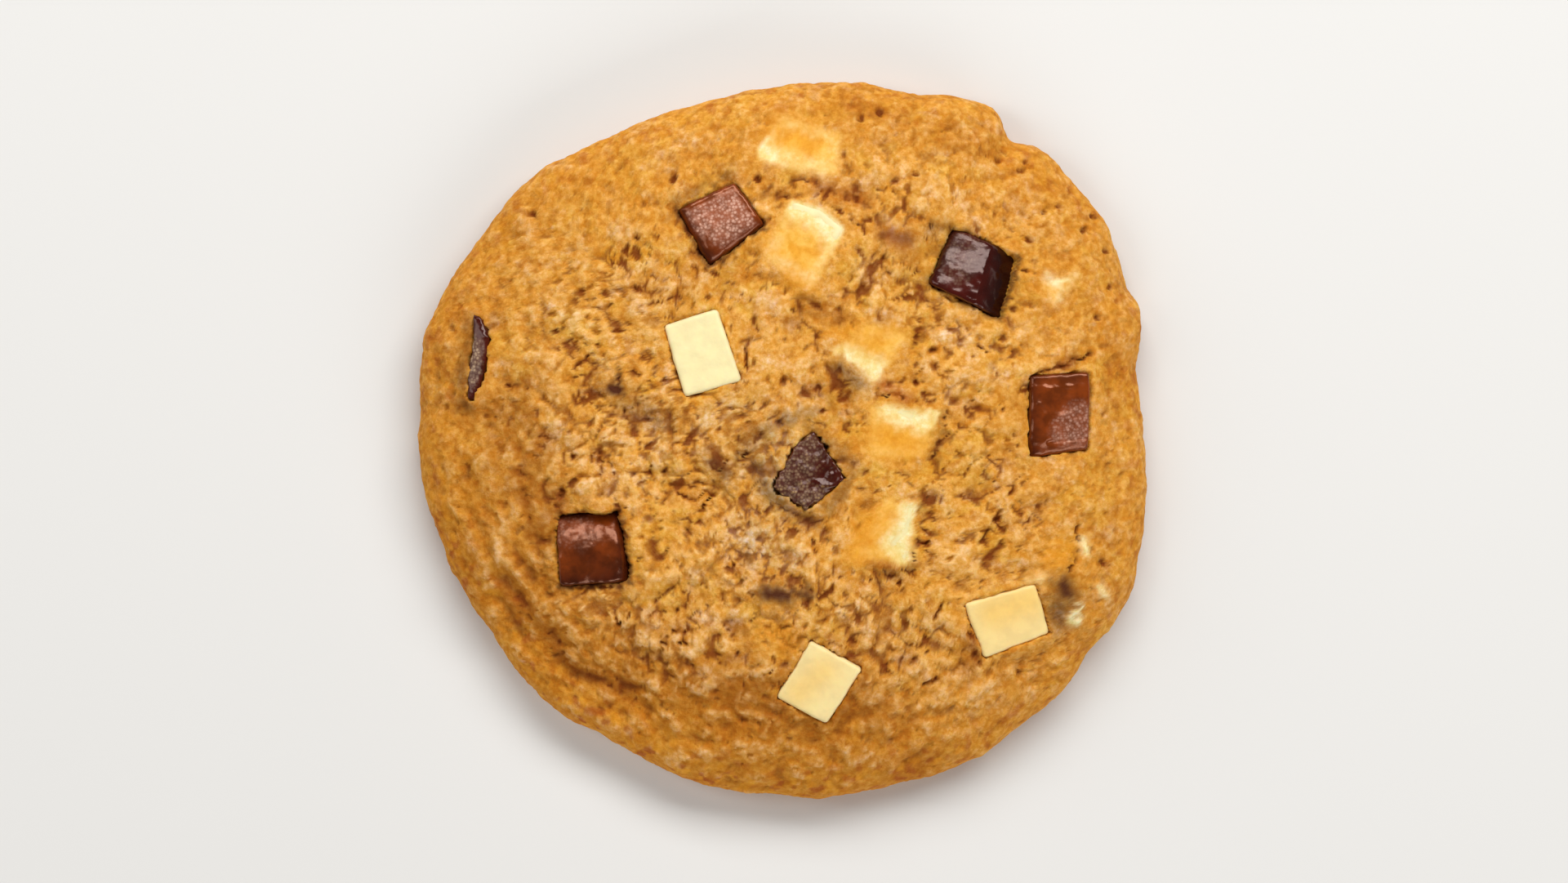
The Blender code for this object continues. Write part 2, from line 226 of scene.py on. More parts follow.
@dataclass(frozen=True)
class Form:
    """The smooth form of the cookie, with the sizes that its solid has."""

    height: float = 12.6 * MM
    widest_height: float = 2.8 * MM
    dome_power: float = 3.3
    base_inset: float = 1.7 * MM
    mean_radius: float = 44.6 * MM
    profile_steps: int = 721
    outline: Places = (
        (0, 43.9), (6, 43.6), (12, 44.1), (17, 45.6), (20.5, 46.3), (24, 45.9), (30, 46.8),
        (36, 47.3), (42, 46.9), (49, 47.2), (53, 45.8), (57, 47.8), (63, 47.1), (69, 45.6),
        (76, 45.0), (84, 43.9), (92, 43.2), (103, 42.7), (115, 42.9), (126, 43.3), (132, 44.2),
        (142, 44.5), (150, 44.9), (158, 45.6), (164, 46.0), (168, 45.3), (175, 44.7),
        (187, 44.6), (198, 43.7), (213, 43.0), (226, 43.2), (242, 42.4), (253, 43.1),
        (265, 43.4), (275, 44.0), (286, 43.9), (298, 44.9), (317, 45.6), (326, 45.3),
        (336, 46.3), (343, 45.5), (352, 44.9),
    )

    def reach(self, bearing: Array) -> Array:
        """Distance from the middle to the edge along a smooth closed curve.

        Args:
            bearing: Directions in radians from +X.

        Returns:
            Distances in metres.
        """
        angles = np.radians([point[0] for point in self.outline])
        reaches = np.array([point[1] for point in self.outline]) * MM
        knots = np.concatenate([angles[-2:] - math.tau, angles, angles[:2] + math.tau])
        values = np.concatenate([reaches[-2:], reaches, reaches[:2]])
        slopes = np.gradient(values, knots)
        turned = np.mod(bearing, math.tau)
        at = np.clip(np.searchsorted(knots, turned, side="right") - 1, 0, len(knots) - 2)
        span = knots[at + 1] - knots[at]
        t = (turned - knots[at]) / span
        bend = t * (1.0 - t) ** 2 * slopes[at] * span + t * t * (t - 1.0) * slopes[at + 1] * span
        rise = t * t * (3.0 - 2.0 * t)
        return values[at] * (1.0 - rise) + values[at + 1] * rise + bend

    def middle(self) -> Array:
        """Centre of the box round the outline, which the solids have on the origin."""
        bearing = np.linspace(0.0, math.tau, 1440, endpoint=False)
        reach = self.reach(bearing)
        x = reach * np.cos(bearing)
        y = reach * np.sin(bearing)
        return np.array([(x.max() + x.min()) / 2.0, (y.max() + y.min()) / 2.0])

    def dome(self, share: Array) -> Array:
        """Height of the smooth dome at a share of the way from the middle to the edge."""
        crown = np.sqrt(np.clip(1.0 - np.clip(share, 0.0, 1.0) ** self.dome_power, 0.0, 1.0))
        return self.widest_height + (self.height - self.widest_height) * crown

    def profile(self) -> tuple[Array, Array, Array, Array]:
        """Walk the side profile from the middle of the top, round the shoulder to the base.

        Returns:
            The share of the outline's reach, the height, and the normal's outward and upward
            parts, at places that are evenly spaced along the curve.
        """
        angle = np.linspace(0.0, math.pi, 2001)
        upper = angle <= math.pi / 2.0
        over = np.sin(angle) ** (2.0 / self.dome_power)
        under = 1.0 - self.base_inset / self.mean_radius * (1.0 - np.sin(angle))
        share = np.where(upper, over, under)
        height = np.where(upper, self.dome(share), self.widest_height * (1.0 + np.cos(angle)))
        length = np.hypot(np.diff(share * self.mean_radius), np.diff(height))
        along = np.concatenate([[0.0], np.cumsum(length)])
        even = np.linspace(0.0, along[-1], self.profile_steps)
        share = np.interp(even, along, share)
        height = np.interp(even, along, height)
        run = np.gradient(share * self.mean_radius)
        drop = -np.gradient(height)
        size = np.hypot(run, drop)
        return share, height, drop / size, run / size


def convex_outline(places: Array) -> list[int]:
    """Indices of the places on the convex outline, anticlockwise."""
    order = sorted(range(len(places)), key=lambda i: (places[i][0], places[i][1]))

    def half(indices: list[int]) -> list[int]:
        """One side of the outline, without its last place."""
        chain: list[int] = []
        for i in indices:
            while len(chain) > 1:
                a = places[chain[-1]] - places[chain[-2]]
                b = places[i] - places[chain[-1]]
                if a[0] * b[1] - a[1] * b[0] > 1e-12:
                    break
                chain.pop()
            chain.append(i)
        return chain[:-1]

    return half(order) + half(order[::-1])


def deselect() -> None:
    """Leave nothing selected, so that an operator acts only on what is picked next."""
    if bpy.context.object and bpy.context.object.mode != "OBJECT":
        bpy.ops.object.mode_set(mode="OBJECT")
    bpy.ops.object.select_all(action="DESELECT")


def pick(obj: bpy.types.Object) -> None:
    """Select one object alone and make it active."""
    deselect()
    obj.select_set(True)
    bpy.context.view_layer.objects.active = obj


def read_places(mesh: bpy.types.Mesh) -> Array:
    """A mesh's vertex places as an array of rows."""
    co = np.empty(len(mesh.vertices) * 3, np.float32)
    mesh.vertices.foreach_get("co", co)
    return co.reshape(-1, 3).astype(float)


def write_places(mesh: bpy.types.Mesh, places: Array) -> None:
    """Set a mesh's vertex places from an array of rows."""
    mesh.vertices.foreach_set("co", places.astype(np.float32).ravel())
    mesh.update()


def write_values(mesh: bpy.types.Mesh, name: str, values: Array) -> None:
    """Store one number for each vertex as a named attribute."""
    layer = mesh.attributes.new(name, "FLOAT", "POINT")
    layer.data.foreach_set("value", values.astype(np.float32).ravel())


def add_node(tree: bpy.types.NodeTree, kind: str, settings: dict | None = None,
             inputs: dict | None = None) -> bpy.types.Node:
    """Add a shader node with its settings and what feeds it.

    Args:
        tree: The material's node tree.
        kind: The node's type name, such as "ShaderNodeMix".
        settings: Properties of the node, by name.
        inputs: By input name or number, a value to set or an output socket to link.

    Returns:
        The new node.
    """
    node = tree.nodes.new(kind)
    for name, value in (settings or {}).items():
        setattr(node, name, value)
    for key, value in (inputs or {}).items():
        socket = node.inputs[key]
        if isinstance(value, bpy.types.NodeSocket):
            tree.links.new(value, socket)
        else:
            socket.default_value = value
    return node


MIX_COLOUR = {"data_type": "RGBA"}
TINT_COLOUR = {"data_type": "RGBA", "blend_type": "MULTIPLY"}
SMOOTH_RANGE = {"interpolation_type": "SMOOTHSTEP"}
PRODUCT = {"operation": "MULTIPLY"}


@dataclass(frozen=True)
class Setting:
    """How one chunk lies in the dough, and how its surface looks.

    A chunk with bare_mm lies under a baked film of dough, and shows only along that path.
    Covers are lobes of dough over its edge: a middle and two half-widths in millimetres.
    """

    node: str
    kind: Kind
    seat_mm: float = 0.15
    lap_mm: float = 0.25
    ragged_mm: float = 0.25
    covers: tuple[tuple[float, float, float, float], ...] = ()
    bare_mm: Places = ()
    bare_reach_mm: float = 0.9
    film: float = 0.9
    cream_mm: float = 2.4
    pale_edge: float = 0.06
    lift_mm: float = 0.0
    facets: tuple[Facet, ...] = ()
    grooves: tuple[Stroke, ...] = ()
    # Bloom is real bloom on some chunks and painted highlight along a gleaming band on others; toast is
    # real toasting on some and painted shade on the sides turned from the light on others.
    bloom_and_sheen: float = 0.0
    bloom_and_sheen_mm: Places = ()
    bloom_inset_mm: float = 0.0
    toasted: float = 0.0
    toast_and_shade: tuple[Stroke, ...] = ()
    crust: float = 0.0
    dent_mm: float = 0.04

    def top_places(self) -> Array:
        """The solid's vertices in the upper part of its depth, in metres from the middle."""
        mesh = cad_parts[self.node].data
        normal = Vector((0.0, 0.0, 0.0))
        for face in mesh.polygons:
            if face.normal.z > TOP_LEVEL:
                normal += face.normal * face.area
        places = read_places(mesh)
        along = places @ np.array(normal.normalized())
        top = places[along > along.max() - TOP_DEPTH]
        top[:, :2] += FORM_MIDDLE
        return top

    def outline_mm(self) -> Places:
        """The top's outline seen from above, anticlockwise, in millimetres."""
        flat = self.top_places()[:, :2]
        return tuple((x / MM, y / MM) for x, y in flat[convex_outline(flat)])

    def shoulder(self, x: Array, y: Array) -> Array:
        """Height of the plane through the top's upper edge, at places in metres."""
        top = self.top_places()
        away = distance_to_path(top[:, 0], top[:, 1], self.outline_mm(), closed=True)
        edge = top[away < EDGE_NEAR]
        flat = np.column_stack([np.ones(len(edge)), edge[:, 0], edge[:, 1]])
        level = np.linalg.lstsq(flat, edge[:, 2], rcond=None)[0]
        return level[0] + level[1] * x + level[2] * y

    def carved(self, x: Array, y: Array) -> Array:
        """How far the top is carved under its solid, in metres."""
        depth = np.full(x.shape, -self.lift_mm * MM)
        for facet in self.facets:
            depth += facet.fall(x, y)
        return depth

    def signed_distance(self, x: Array, y: Array) -> Array:
        """Distance to the chunk's outline in metres, negative inside it."""
        outline = self.outline_mm()
        away = distance_to_path(x, y, outline, closed=True)
        corners = np.array(outline) * MM
        inside = np.ones(x.shape, bool)
        for start, end in zip(corners, np.roll(corners, -1, axis=0)):
            step = end - start
            inside &= step[0] * (y - start[1]) - step[1] * (x - start[0]) >= 0.0
        return np.where(inside, -away, away)

    def bare_distance(self, x: Array, y: Array) -> Array:
        """Distance to what shows of the chunk in metres, negative inside it."""
        away = self.signed_distance(x, y)
        if self.bare_mm:
            strip = distance_to_path(x, y, self.bare_mm) - self.bare_reach_mm * MM
            away = np.maximum(away, strip)
        return away


SETTINGS = (
    # Its toast along the left and lower-right edges is painted shade on the bevels turned from the
    # light.
    Setting("milk_chunk_upper", Kind.MILK, bloom_and_sheen=0.88, lift_mm=0.2, ragged_mm=0.35, dent_mm=0.08,
            bloom_and_sheen_mm=((-10.4, 26.8), (-6.8, 28.8), (-5.4, 26.8), (-7.6, 25.6)), bloom_inset_mm=0.8,
            facets=(Facet((-12.2, 28.6), (-8.9, 22.6), 0.65), Facet((-9.6, 22.9), (-3.2, 27.5), 0.50)),
            toast_and_shade=(Stroke(((-13.2, 28.1), (-9.3, 21.1)), 1.3, 0.75),
                   Stroke(((-9.3, 21.1), (-2.4, 26.2)), 1.6, 0.60)),
            grooves=(Stroke(((-9.4, 24.6), (-11.6, 27.6), (-6.5, 30.1)), 0.22, -0.08),
                     Stroke(((-9.2, 25.4), (-10.5, 27.2), (-6.8, 29.0)), 0.25, 0.06))),
    # Its toast along the top edge is painted shadow under the dough lobe.
    Setting("milk_chunk_right", Kind.MILK, bloom_and_sheen=0.50,
            bloom_and_sheen_mm=((34.2, 1.2), (35.6, 1.4), (35.6, 2.8)),
            covers=((32.8, 9.2, 2.3, 1.5),), lift_mm=0.1, ragged_mm=0.35, dent_mm=0.12, toasted=0.08,
            toast_and_shade=(Stroke(((29.8, 8.0), (29.9, -1.6)), 1.1, 0.65),
                   Stroke(((29.9, -1.4), (37.0, -1.2)), 0.6, 0.3),
                   Stroke(((29.8, 7.8), (36.8, 7.6)), 0.8, 0.30),
                   Stroke(((32.2, 4.6), (35.6, 5.0)), 0.6, 0.25)),
            facets=(Facet((38.0, 6.4), (29.0, 6.4), -0.28, 0.2),
                    Facet((29.0, -0.1), (38.0, 0.2), 0.35),
                    Facet((31.3, 8.0), (31.0, -3.0), 0.24, 0.8)),
            grooves=(Stroke(((29.8, 6.5), (32.6, 6.3), (35.0, 6.6)), 0.22, -0.07),
                     Stroke(((32.3, 0.4), (33.4, 2.8), (36.2, 4.0)), 0.35, -0.10),
                     Stroke(((30.8, 4.4), (31.4, 3.2), (30.9, 2.2)), 0.30, -0.12),
                     Stroke(((32.0, -0.2), (36.6, 0.3)), 0.25, 0.25))),
    # Its toast along the bottom, right and top edges is painted shade, and its bloom along the left of
    # its gleaming band is painted highlight.
    Setting("milk_chunk_left", Kind.MILK, lift_mm=0.9, ragged_mm=0.4, dent_mm=0.13,
            covers=((-26.1, -8.3, 1.5, 0.7), (-22.3, -8.0, 1.7, 0.9)),
            toasted=0.25, bloom_and_sheen=0.15, bloom_and_sheen_mm=((-27.0, -11.0), (-24.6, -11.2)),
            toast_and_shade=(Stroke(((-27.6, -17.4), (-19.0, -17.2)), 1.3, 0.75),
                   Stroke(((-19.6, -9.0), (-19.4, -17.0)), 1.1, 0.65),
                   Stroke(((-27.6, -9.0), (-20.4, -9.0)), 0.8, 0.65),
                   Stroke(((-24.6, -13.6), (-21.6, -15.2)), 1.2, 0.40)),
            facets=(Facet((-20.0, -11.2), (-28.0, -11.3), 1.00, 2.0),
                    Facet((-28.0, -14.4), (-18.0, -14.2), 0.28, 2.0),
                    Facet((-20.4, -18.0), (-20.7, -8.0), 0.80)),
            grooves=(Stroke(((-23.6, -12.8), (-22.3, -13.6)), 0.25, -0.10),
                     Stroke(((-26.6, -15.2), (-25.4, -16.4)), 0.30, 0.10))),
    # Its toast on the right facet and left strip is painted shade on faces turned from the light, and
    # its bloom along the band between them is painted highlight.
    Setting("dark_chunk_upper_right", Kind.DARK, bloom_and_sheen=0.16, lift_mm=0.7, ragged_mm=0.3, dent_mm=0.11,
            bloom_and_sheen_mm=((22.0, 24.0), (20.6, 20.6)),
            toast_and_shade=(Stroke(((27.0, 22.8), (25.6, 16.4)), 2.0, 1.0),
                   Stroke(((19.8, 25.2), (17.6, 20.0)), 0.9, 0.7)),
            facets=(Facet((27.0, 21.0), (17.0, 21.6), 0.42, 3.0),
                    Facet((23.2, 17.4), (25.4, 25.0), 0.62, 0.4),
                    Facet((20.6, 26.2), (18.2, 18.4), 0.65, 0.4)),
            grooves=(Stroke(((24.6, 21.6), (26.0, 20.2)), 0.30, 0.12),
                     Stroke(((18.6, 20.4), (19.8, 19.8)), 0.30, 0.12),
                     Stroke(((22.0, 17.6), (22.8, 17.2)), 0.25, 0.10),
                     Stroke(((22.8, 24.4), (21.6, 20.6)), 0.60, -0.08))),
    Setting("dark_chunk_centre", Kind.DARK, crust=1.0, seat_mm=0.30, lap_mm=0.30, ragged_mm=0.7,
            bloom_and_sheen=0.30, bloom_and_sheen_mm=((2.6, -1.4), (1.0, -4.6), (1.4, -7.0), (3.6, -7.6)),
            covers=((0.2, 0.6, 1.0, 1.0), (-0.6, -2.6, 0.9, 1.2))),
    # Its bloom along the middle is painted highlight.
    Setting("dark_sliver_left", Kind.DARK, crust=0.4, seat_mm=0.22, lap_mm=0.40, ragged_mm=0.8,
            bloom_and_sheen=0.90, bloom_and_sheen_mm=((-38.9, 11.0), (-39.1, 8.6))),
    Setting("white_chunk_upper_left", Kind.WHITE, seat_mm=0.20, lap_mm=0.28),
    Setting("white_chunk_lower", Kind.WHITE, seat_mm=0.20, lap_mm=0.28, toasted=0.26,
            toast_and_shade=(Stroke(((1.6, -30.6), (4.6, -28.0)), 2.0, 0.35),)),
    Setting("white_chunk_lower_right", Kind.WHITE, seat_mm=0.20, lap_mm=0.28, toasted=0.42,
            toast_and_shade=(Stroke(((25.4, -20.9), (29.5, -19.4)), 2.2, 0.35),)),
    Setting("white_chunk_rim", Kind.WHITE, bare_reach_mm=0.40, cream_mm=2.0, pale_edge=0.22,
            bare_mm=((-2.6, 35.4), (-1.8, 34.5))),
    Setting("white_chunk_upper", Kind.WHITE,
            bare_mm=((1.4, 28.4), (4.2, 27.5), (6.6, 25.7), (6.2, 24.8)), bare_reach_mm=0.7,
            cream_mm=3.0, pale_edge=0.24),
    Setting("white_chunk_mid_upper", Kind.WHITE, bare_reach_mm=0.40, ragged_mm=0.6,
            bare_mm=((7.2, 10.2), (9.2, 9.2), (10.6, 8.2), (10.9, 8.8))),
    Setting("white_chunk_mid_right", Kind.WHITE, bare_reach_mm=0.45, ragged_mm=0.6,
            bare_mm=((12.6, 3.8), (14.6, 3.1), (16.8, 2.3), (18.0, 2.8))),
    Setting("white_chunk_mid_lower", Kind.WHITE, bare_reach_mm=0.45, ragged_mm=0.6,
            bare_mm=((15.2, -8.4), (14.6, -11.0), (13.2, -12.4), (14.4, -14.0))),
    Setting("white_chip_right", Kind.WHITE, bare_mm=((32.3, 19.2), (33.9, 19.3)),
            bare_reach_mm=0.15, film=0.6, cream_mm=1.0),
    Setting("milk_chip_upper_right", Kind.MILK, bare_mm=((13.6, 24.6), (14.6, 24.0)),
            bare_reach_mm=0.6, film=0.12, crust=0.25, ragged_mm=0.6),
    Setting("dark_chip_lower_right", Kind.DARK, bare_mm=((34.0, -17.8), (34.2, -18.6)),
            bare_reach_mm=0.5, film=0.72, crust=0.5, ragged_mm=0.5),
    Setting("dark_chip_left", Kind.DARK, bare_mm=((-20.5, 5.9), (-20.1, 5.5)),
            bare_reach_mm=0.35, film=0.6, crust=0.3, ragged_mm=0.6),
    Setting("dark_chip_lower", Kind.DARK, bare_mm=((-2.1, -18.9), (0.2, -19.0)),
            bare_reach_mm=0.35, film=0.7, crust=0.3, ragged_mm=0.6),
)


@dataclass(frozen=True)
class BakedDough:
    """Baked brown-sugar cookie dough: a dry matt golden crust, paler on its crumbs and darker in its
    pits.

    The mottling is sugar and butter that turned brown unevenly. It is pinker and paler on the torn
    crumbs in the middle, and more orange on the smooth rim. The paler raised crumbs are painted
    highlight, and the darker pits, seams, cracks and folds are painted shade. Light goes a little way
    into the crumb, so its shadows are warm. Real flour and sugar grain is too fine to show in the
    render, so grain_mm, grit_mm and granule_mm draw it as coarse as it needs to be.
    """

    body: str = "EBAA48"
    patches: tuple[tuple[str, str], ...] = (
        ("amber_patch", "D68C28"), ("peach_patch", "ECB872"), ("straw_patch", "E6AC40"),
        ("umber_patch", "BC7018"), ("browned_and_shade", "9A580E"), ("rim", "D98F28"), ("rust", "B0561C"),
        ("tip_highlight", "F8C87E"), ("hollow_shade", "85400C"), ("ash", "DCBA86"))
    # A pattern, the values between which it turns, and how pale it is below and above them.
    # Broad and grit are random tone. Granule darkens the low parts of the crumbs' bump and gap
    # darkens the gaps between grains, both as painted shade.
    shades: tuple[tuple[str, float, float, float, float], ...] = (
        ("broad", 0.34, 0.64, 0.92, 1.08), ("granule", 0.34, 0.64, 0.87, 1.11),
        ("grit", 0.20, 0.80, 0.93, 1.06), ("gap", 0.15, 0.75, 1.03, 0.94))
    films: tuple[tuple[str, str], ...] = (
        ("gold", "FBC052"), ("honey", "EB9F26"), ("cocoa_and_shadow", "562A14"), ("cream", "FFEFB4"))
    # Over the films, amber is random tone and granule is painted shade in the low parts of the crumbs'
    # bump.
    film_shades: tuple[tuple[str, float, float, float, float], ...] = (
        ("amber", 0.36, 0.62, 0.86, 1.05), ("granule", 0.34, 0.64, 0.90, 1.05))
    broad_mm: float = 9.0
    amber_mm: float = 2.6
    peach_mm: float = 3.4
    straw_mm: float = 5.0
    umber_mm: float = 2.0
    granule_mm: float = 0.80
    grain_mm: float = 0.30
    grit_mm: float = 0.62
    roughness: float = 0.78
    glow_mm: float = 0.9

    def material(self) -> bpy.types.Material:
        """Build the crust's node material."""
        material = bpy.data.materials.new("baked_cookie_dough_matt_crust")
        material.use_nodes = True
        tree = material.node_tree
        shader = tree.nodes["Principled BSDF"]
        place = add_node(tree, "ShaderNodeTexCoord").outputs["Object"]
        clouds = {}
        for name, size_mm in (("broad", self.broad_mm), ("amber", self.amber_mm),
                              ("peach", self.peach_mm), ("straw", self.straw_mm),
                              ("umber", self.umber_mm),
                              ("granule", self.granule_mm), ("grain", self.grain_mm)):
            turned = add_node(tree, "ShaderNodeMapping", None, {
                "Vector": place, "Location": (size_mm * MM, 0.0, size_mm * 3.0 * MM)})
            clouds[name] = add_node(tree, "ShaderNodeTexNoise", None, {
                "Vector": turned.outputs["Vector"], "Scale": per_mm(size_mm), "Detail": 5.0,
                "Roughness": 0.64}).outputs["Fac"]
        shares = {}
        for name, cloud, low, high, most in (
                ("amber_patch", "amber", 0.50, 0.66, 0.75), ("peach_patch", "peach", 0.50, 0.64, 0.8),
                ("straw_patch", "straw", 0.50, 0.62, 0.7), ("umber_patch", "umber", 0.50, 0.68, 0.55)):
            shares[name] = add_node(tree, "ShaderNodeMapRange", SMOOTH_RANGE, {
                "Value": clouds[cloud], "From Min": low, "From Max": high, "To Min": 0.0,
                "To Max": most}).outputs["Result"]
        for name, _ in (*self.patches, *self.films):
            if name not in shares:
                shares[name] = add_node(tree, "ShaderNodeAttribute",
                                        {"attribute_name": name}).outputs["Fac"]
        grit = add_node(tree, "ShaderNodeTexVoronoi", None, {
            "Vector": place, "Scale": per_mm(self.grit_mm)})
        clouds["grit"] = grit.outputs["Color"]
        clouds["gap"] = grit.outputs["Distance"]
        colour = linear(self.body)
        for layer in (*self.patches, *self.shades, *self.films, *self.film_shades):
            if layer[0] in shares:
                colour = add_node(tree, "ShaderNodeMix", MIX_COLOUR, {
                    0: shares[layer[0]], 6: colour, 7: linear(layer[1])}).outputs[2]
                continue
            cloud, low, high, at_low, at_high = layer
            share = add_node(tree, "ShaderNodeMapRange", SMOOTH_RANGE, {
                "Value": clouds[cloud], "From Min": low, "From Max": high, "To Min": 0.0,
                "To Max": 1.0}).outputs["Result"]
            shade = add_node(tree, "ShaderNodeMix", MIX_COLOUR, {
                0: share, 6: tone_and_shade_tint(at_low), 7: tone_and_shade_tint(at_high)}).outputs[2]
            colour = add_node(tree, "ShaderNodeMix", TINT_COLOUR, {
                0: 1.0, 6: colour, 7: shade}).outputs[2]
        rough = add_node(tree, "ShaderNodeMapRange", None, {
            "Value": clouds["amber"], "From Min": 0.3, "From Max": 0.7,
            "To Min": self.roughness - 0.10, "To Max": self.roughness + 0.10}).outputs["Result"]
        dry = add_node(tree, "ShaderNodeMapRange", None, {
            "Value": shares["gold"], "From Min": 0.0, "From Max": 1.0, "To Min": 0.68,
            "To Max": 0.20}).outputs["Result"]
        grain = add_node(tree, "ShaderNodeBump", None, {
            "Strength": dry, "Distance": 0.10 * MM, "Height": clouds["grain"]})
        crumbs = add_node(tree, "ShaderNodeBump", None, {
            "Strength": dry, "Distance": 0.30 * MM, "Height": clouds["granule"],
            "Normal": grain.outputs["Normal"]})
        tree.links.new(colour, shader.inputs["Base Color"])
        tree.links.new(rough, shader.inputs["Roughness"])
        tree.links.new(crumbs.outputs["Normal"], shader.inputs["Normal"])
        shader.inputs["Specular IOR Level"].default_value = 0.15
        shader.inputs["Subsurface Weight"].default_value = 0.25
        shader.inputs["Subsurface Radius"].default_value = (1.0, 0.45, 0.15)
        shader.inputs["Subsurface Scale"].default_value = self.glow_mm * MM
        return material


@dataclass(frozen=True)
class ChocolateFinish:
    """Moulded, cut and baked chocolate: smooth and waxy, with a little bloom and crumb on it.

    Toast darkens its edges and crumb is dough that stuck to it. On the milk and dark chunks the
    toast is mostly painted shade on the sides turned from the light, and the bloom laid along a
    gleaming band on some chunks is painted highlight. Bloom is a haze of crystals far too fine to
    show in the render, so dot_mm and fleck_mm draw it as specks that show.
    """

    name: str
    body: str
    toast_and_shade: str
    bloom_and_sheen: str
    crumb: str
    roughness: float
    coat: float
    shine: float
    gleam: str
    waxy: float
    mottle: float
    dent_mm: float = 0.9
    fleck_mm: float = 0.40
    dot_mm: float = 0.36

    def material(self) -> bpy.types.Material:
        """Build the chocolate's node material."""
        material = bpy.data.materials.new(self.name)
        material.use_nodes = True
        tree = material.node_tree
        shader = tree.nodes["Principled BSDF"]
        place = add_node(tree, "ShaderNodeTexCoord").outputs["Object"]
        kept = {name: add_node(tree, "ShaderNodeAttribute", {"attribute_name": name}).outputs["Fac"]
                for name in ("toast_and_shade", "bloom_and_sheen", "crumb")}
        cloud = add_node(tree, "ShaderNodeTexNoise", None, {
            "Vector": place, "Scale": per_mm(2.2), "Detail": 3.0, "Roughness": 0.6})
        fleck = add_node(tree, "ShaderNodeTexNoise", None, {
            "Vector": place, "Scale": per_mm(self.fleck_mm), "Detail": 3.0, "Roughness": 0.65})
        dent = add_node(tree, "ShaderNodeTexNoise", None, {
            "Vector": place, "Scale": per_mm(self.dent_mm), "Detail": 2.0, "Roughness": 0.5})
        uneven = add_node(tree, "ShaderNodeMapRange", SMOOTH_RANGE, {
            "Value": cloud.outputs["Fac"], "From Min": 0.35, "From Max": 0.65,
            "To Min": 1.0 - self.mottle, "To Max": 1.0 + 0.4 * self.mottle})
        colour = add_node(tree, "ShaderNodeMix", MIX_COLOUR, {
            0: kept["toast_and_shade"], 6: linear(self.body), 7: linear(self.toast_and_shade)})
        colour = add_node(tree, "ShaderNodeMix", TINT_COLOUR, {
            0: 1.0, 6: colour.outputs[2], 7: uneven.outputs["Result"]})
        dots = add_node(tree, "ShaderNodeTexVoronoi", None, {
            "Vector": place, "Scale": per_mm(self.dot_mm)})
        round_dots = add_node(tree, "ShaderNodeMapRange", SMOOTH_RANGE, {
            "Value": dots.outputs["Distance"], "From Min": 0.15, "From Max": 0.80, "To Min": 1.0,
            "To Max": 0.10})
        uneven_dots = add_node(tree, "ShaderNodeMapRange", None, {
            "Value": dots.outputs["Color"], "From Min": 0.25, "From Max": 0.65, "To Min": 0.25,
            "To Max": 1.0})
        specks = add_node(tree, "ShaderNodeMath", PRODUCT, {
            0: round_dots.outputs["Result"], 1: uneven_dots.outputs["Result"]})
        filmy = add_node(tree, "ShaderNodeMapRange", None, {
            "Value": specks.outputs[0], "From Min": 0.0, "From Max": 1.0, "To Min": 0.06,
            "To Max": 1.0})
        # Bloom specks, and painted highlight where bloom lies along a gleaming band.
        bloom_and_sheen_share = add_node(tree, "ShaderNodeMath", PRODUCT, {
            0: kept["bloom_and_sheen"], 1: filmy.outputs["Result"]})
        colour = add_node(tree, "ShaderNodeMix", MIX_COLOUR, {
            0: bloom_and_sheen_share.outputs[0], 6: colour.outputs[2], 7: linear(self.bloom_and_sheen)})
        dotted = add_node(tree, "ShaderNodeMath", PRODUCT, {
            0: kept["crumb"], 1: specks.outputs[0]})
        colour = add_node(tree, "ShaderNodeMix", MIX_COLOUR, {
            0: dotted.outputs[0], 6: colour.outputs[2], 7: linear(self.crumb)})
        dull = add_node(tree, "ShaderNodeMath", {"operation": "ADD"}, {
            0: kept["bloom_and_sheen"], 1: kept["crumb"]})
        rough = add_node(tree, "ShaderNodeMapRange", None, {
            "Value": dull.outputs[0], "From Min": 0.0, "From Max": 1.0,
            "To Min": self.roughness, "To Max": 0.48})
        worn = add_node(tree, "ShaderNodeBump", None, {
            "Strength": 0.45, "Distance": 0.09 * MM, "Height": dent.outputs["Fac"]})
        pitted = add_node(tree, "ShaderNodeMapRange", None, {
            "Value": kept["bloom_and_sheen"], "From Min": 0.0, "From Max": 0.4, "To Min": 0.12,
            "To Max": 0.85})
        relief = add_node(tree, "ShaderNodeBump", None, {
            "Strength": pitted.outputs["Result"], "Distance": 0.07 * MM, "Height": fleck.outputs["Fac"],
            "Normal": worn.outputs["Normal"]})
        tree.links.new(colour.outputs[2], shader.inputs["Base Color"])
        tree.links.new(rough.outputs["Result"], shader.inputs["Roughness"])
        tree.links.new(relief.outputs["Normal"], shader.inputs["Normal"])
        shader.inputs["Coat Weight"].default_value = self.coat
        shader.inputs["Coat Roughness"].default_value = 0.16
        shader.inputs["Specular IOR Level"].default_value = self.shine
        shader.inputs["Specular Tint"].default_value = linear(self.gleam)
        shader.inputs["IOR"].default_value = 1.5
        shader.inputs["Subsurface Weight"].default_value = self.waxy
        shader.inputs["Subsurface Radius"].default_value = (1.0, 0.6, 0.3)
        shader.inputs["Subsurface Scale"].default_value = 1.2 * MM
        return material


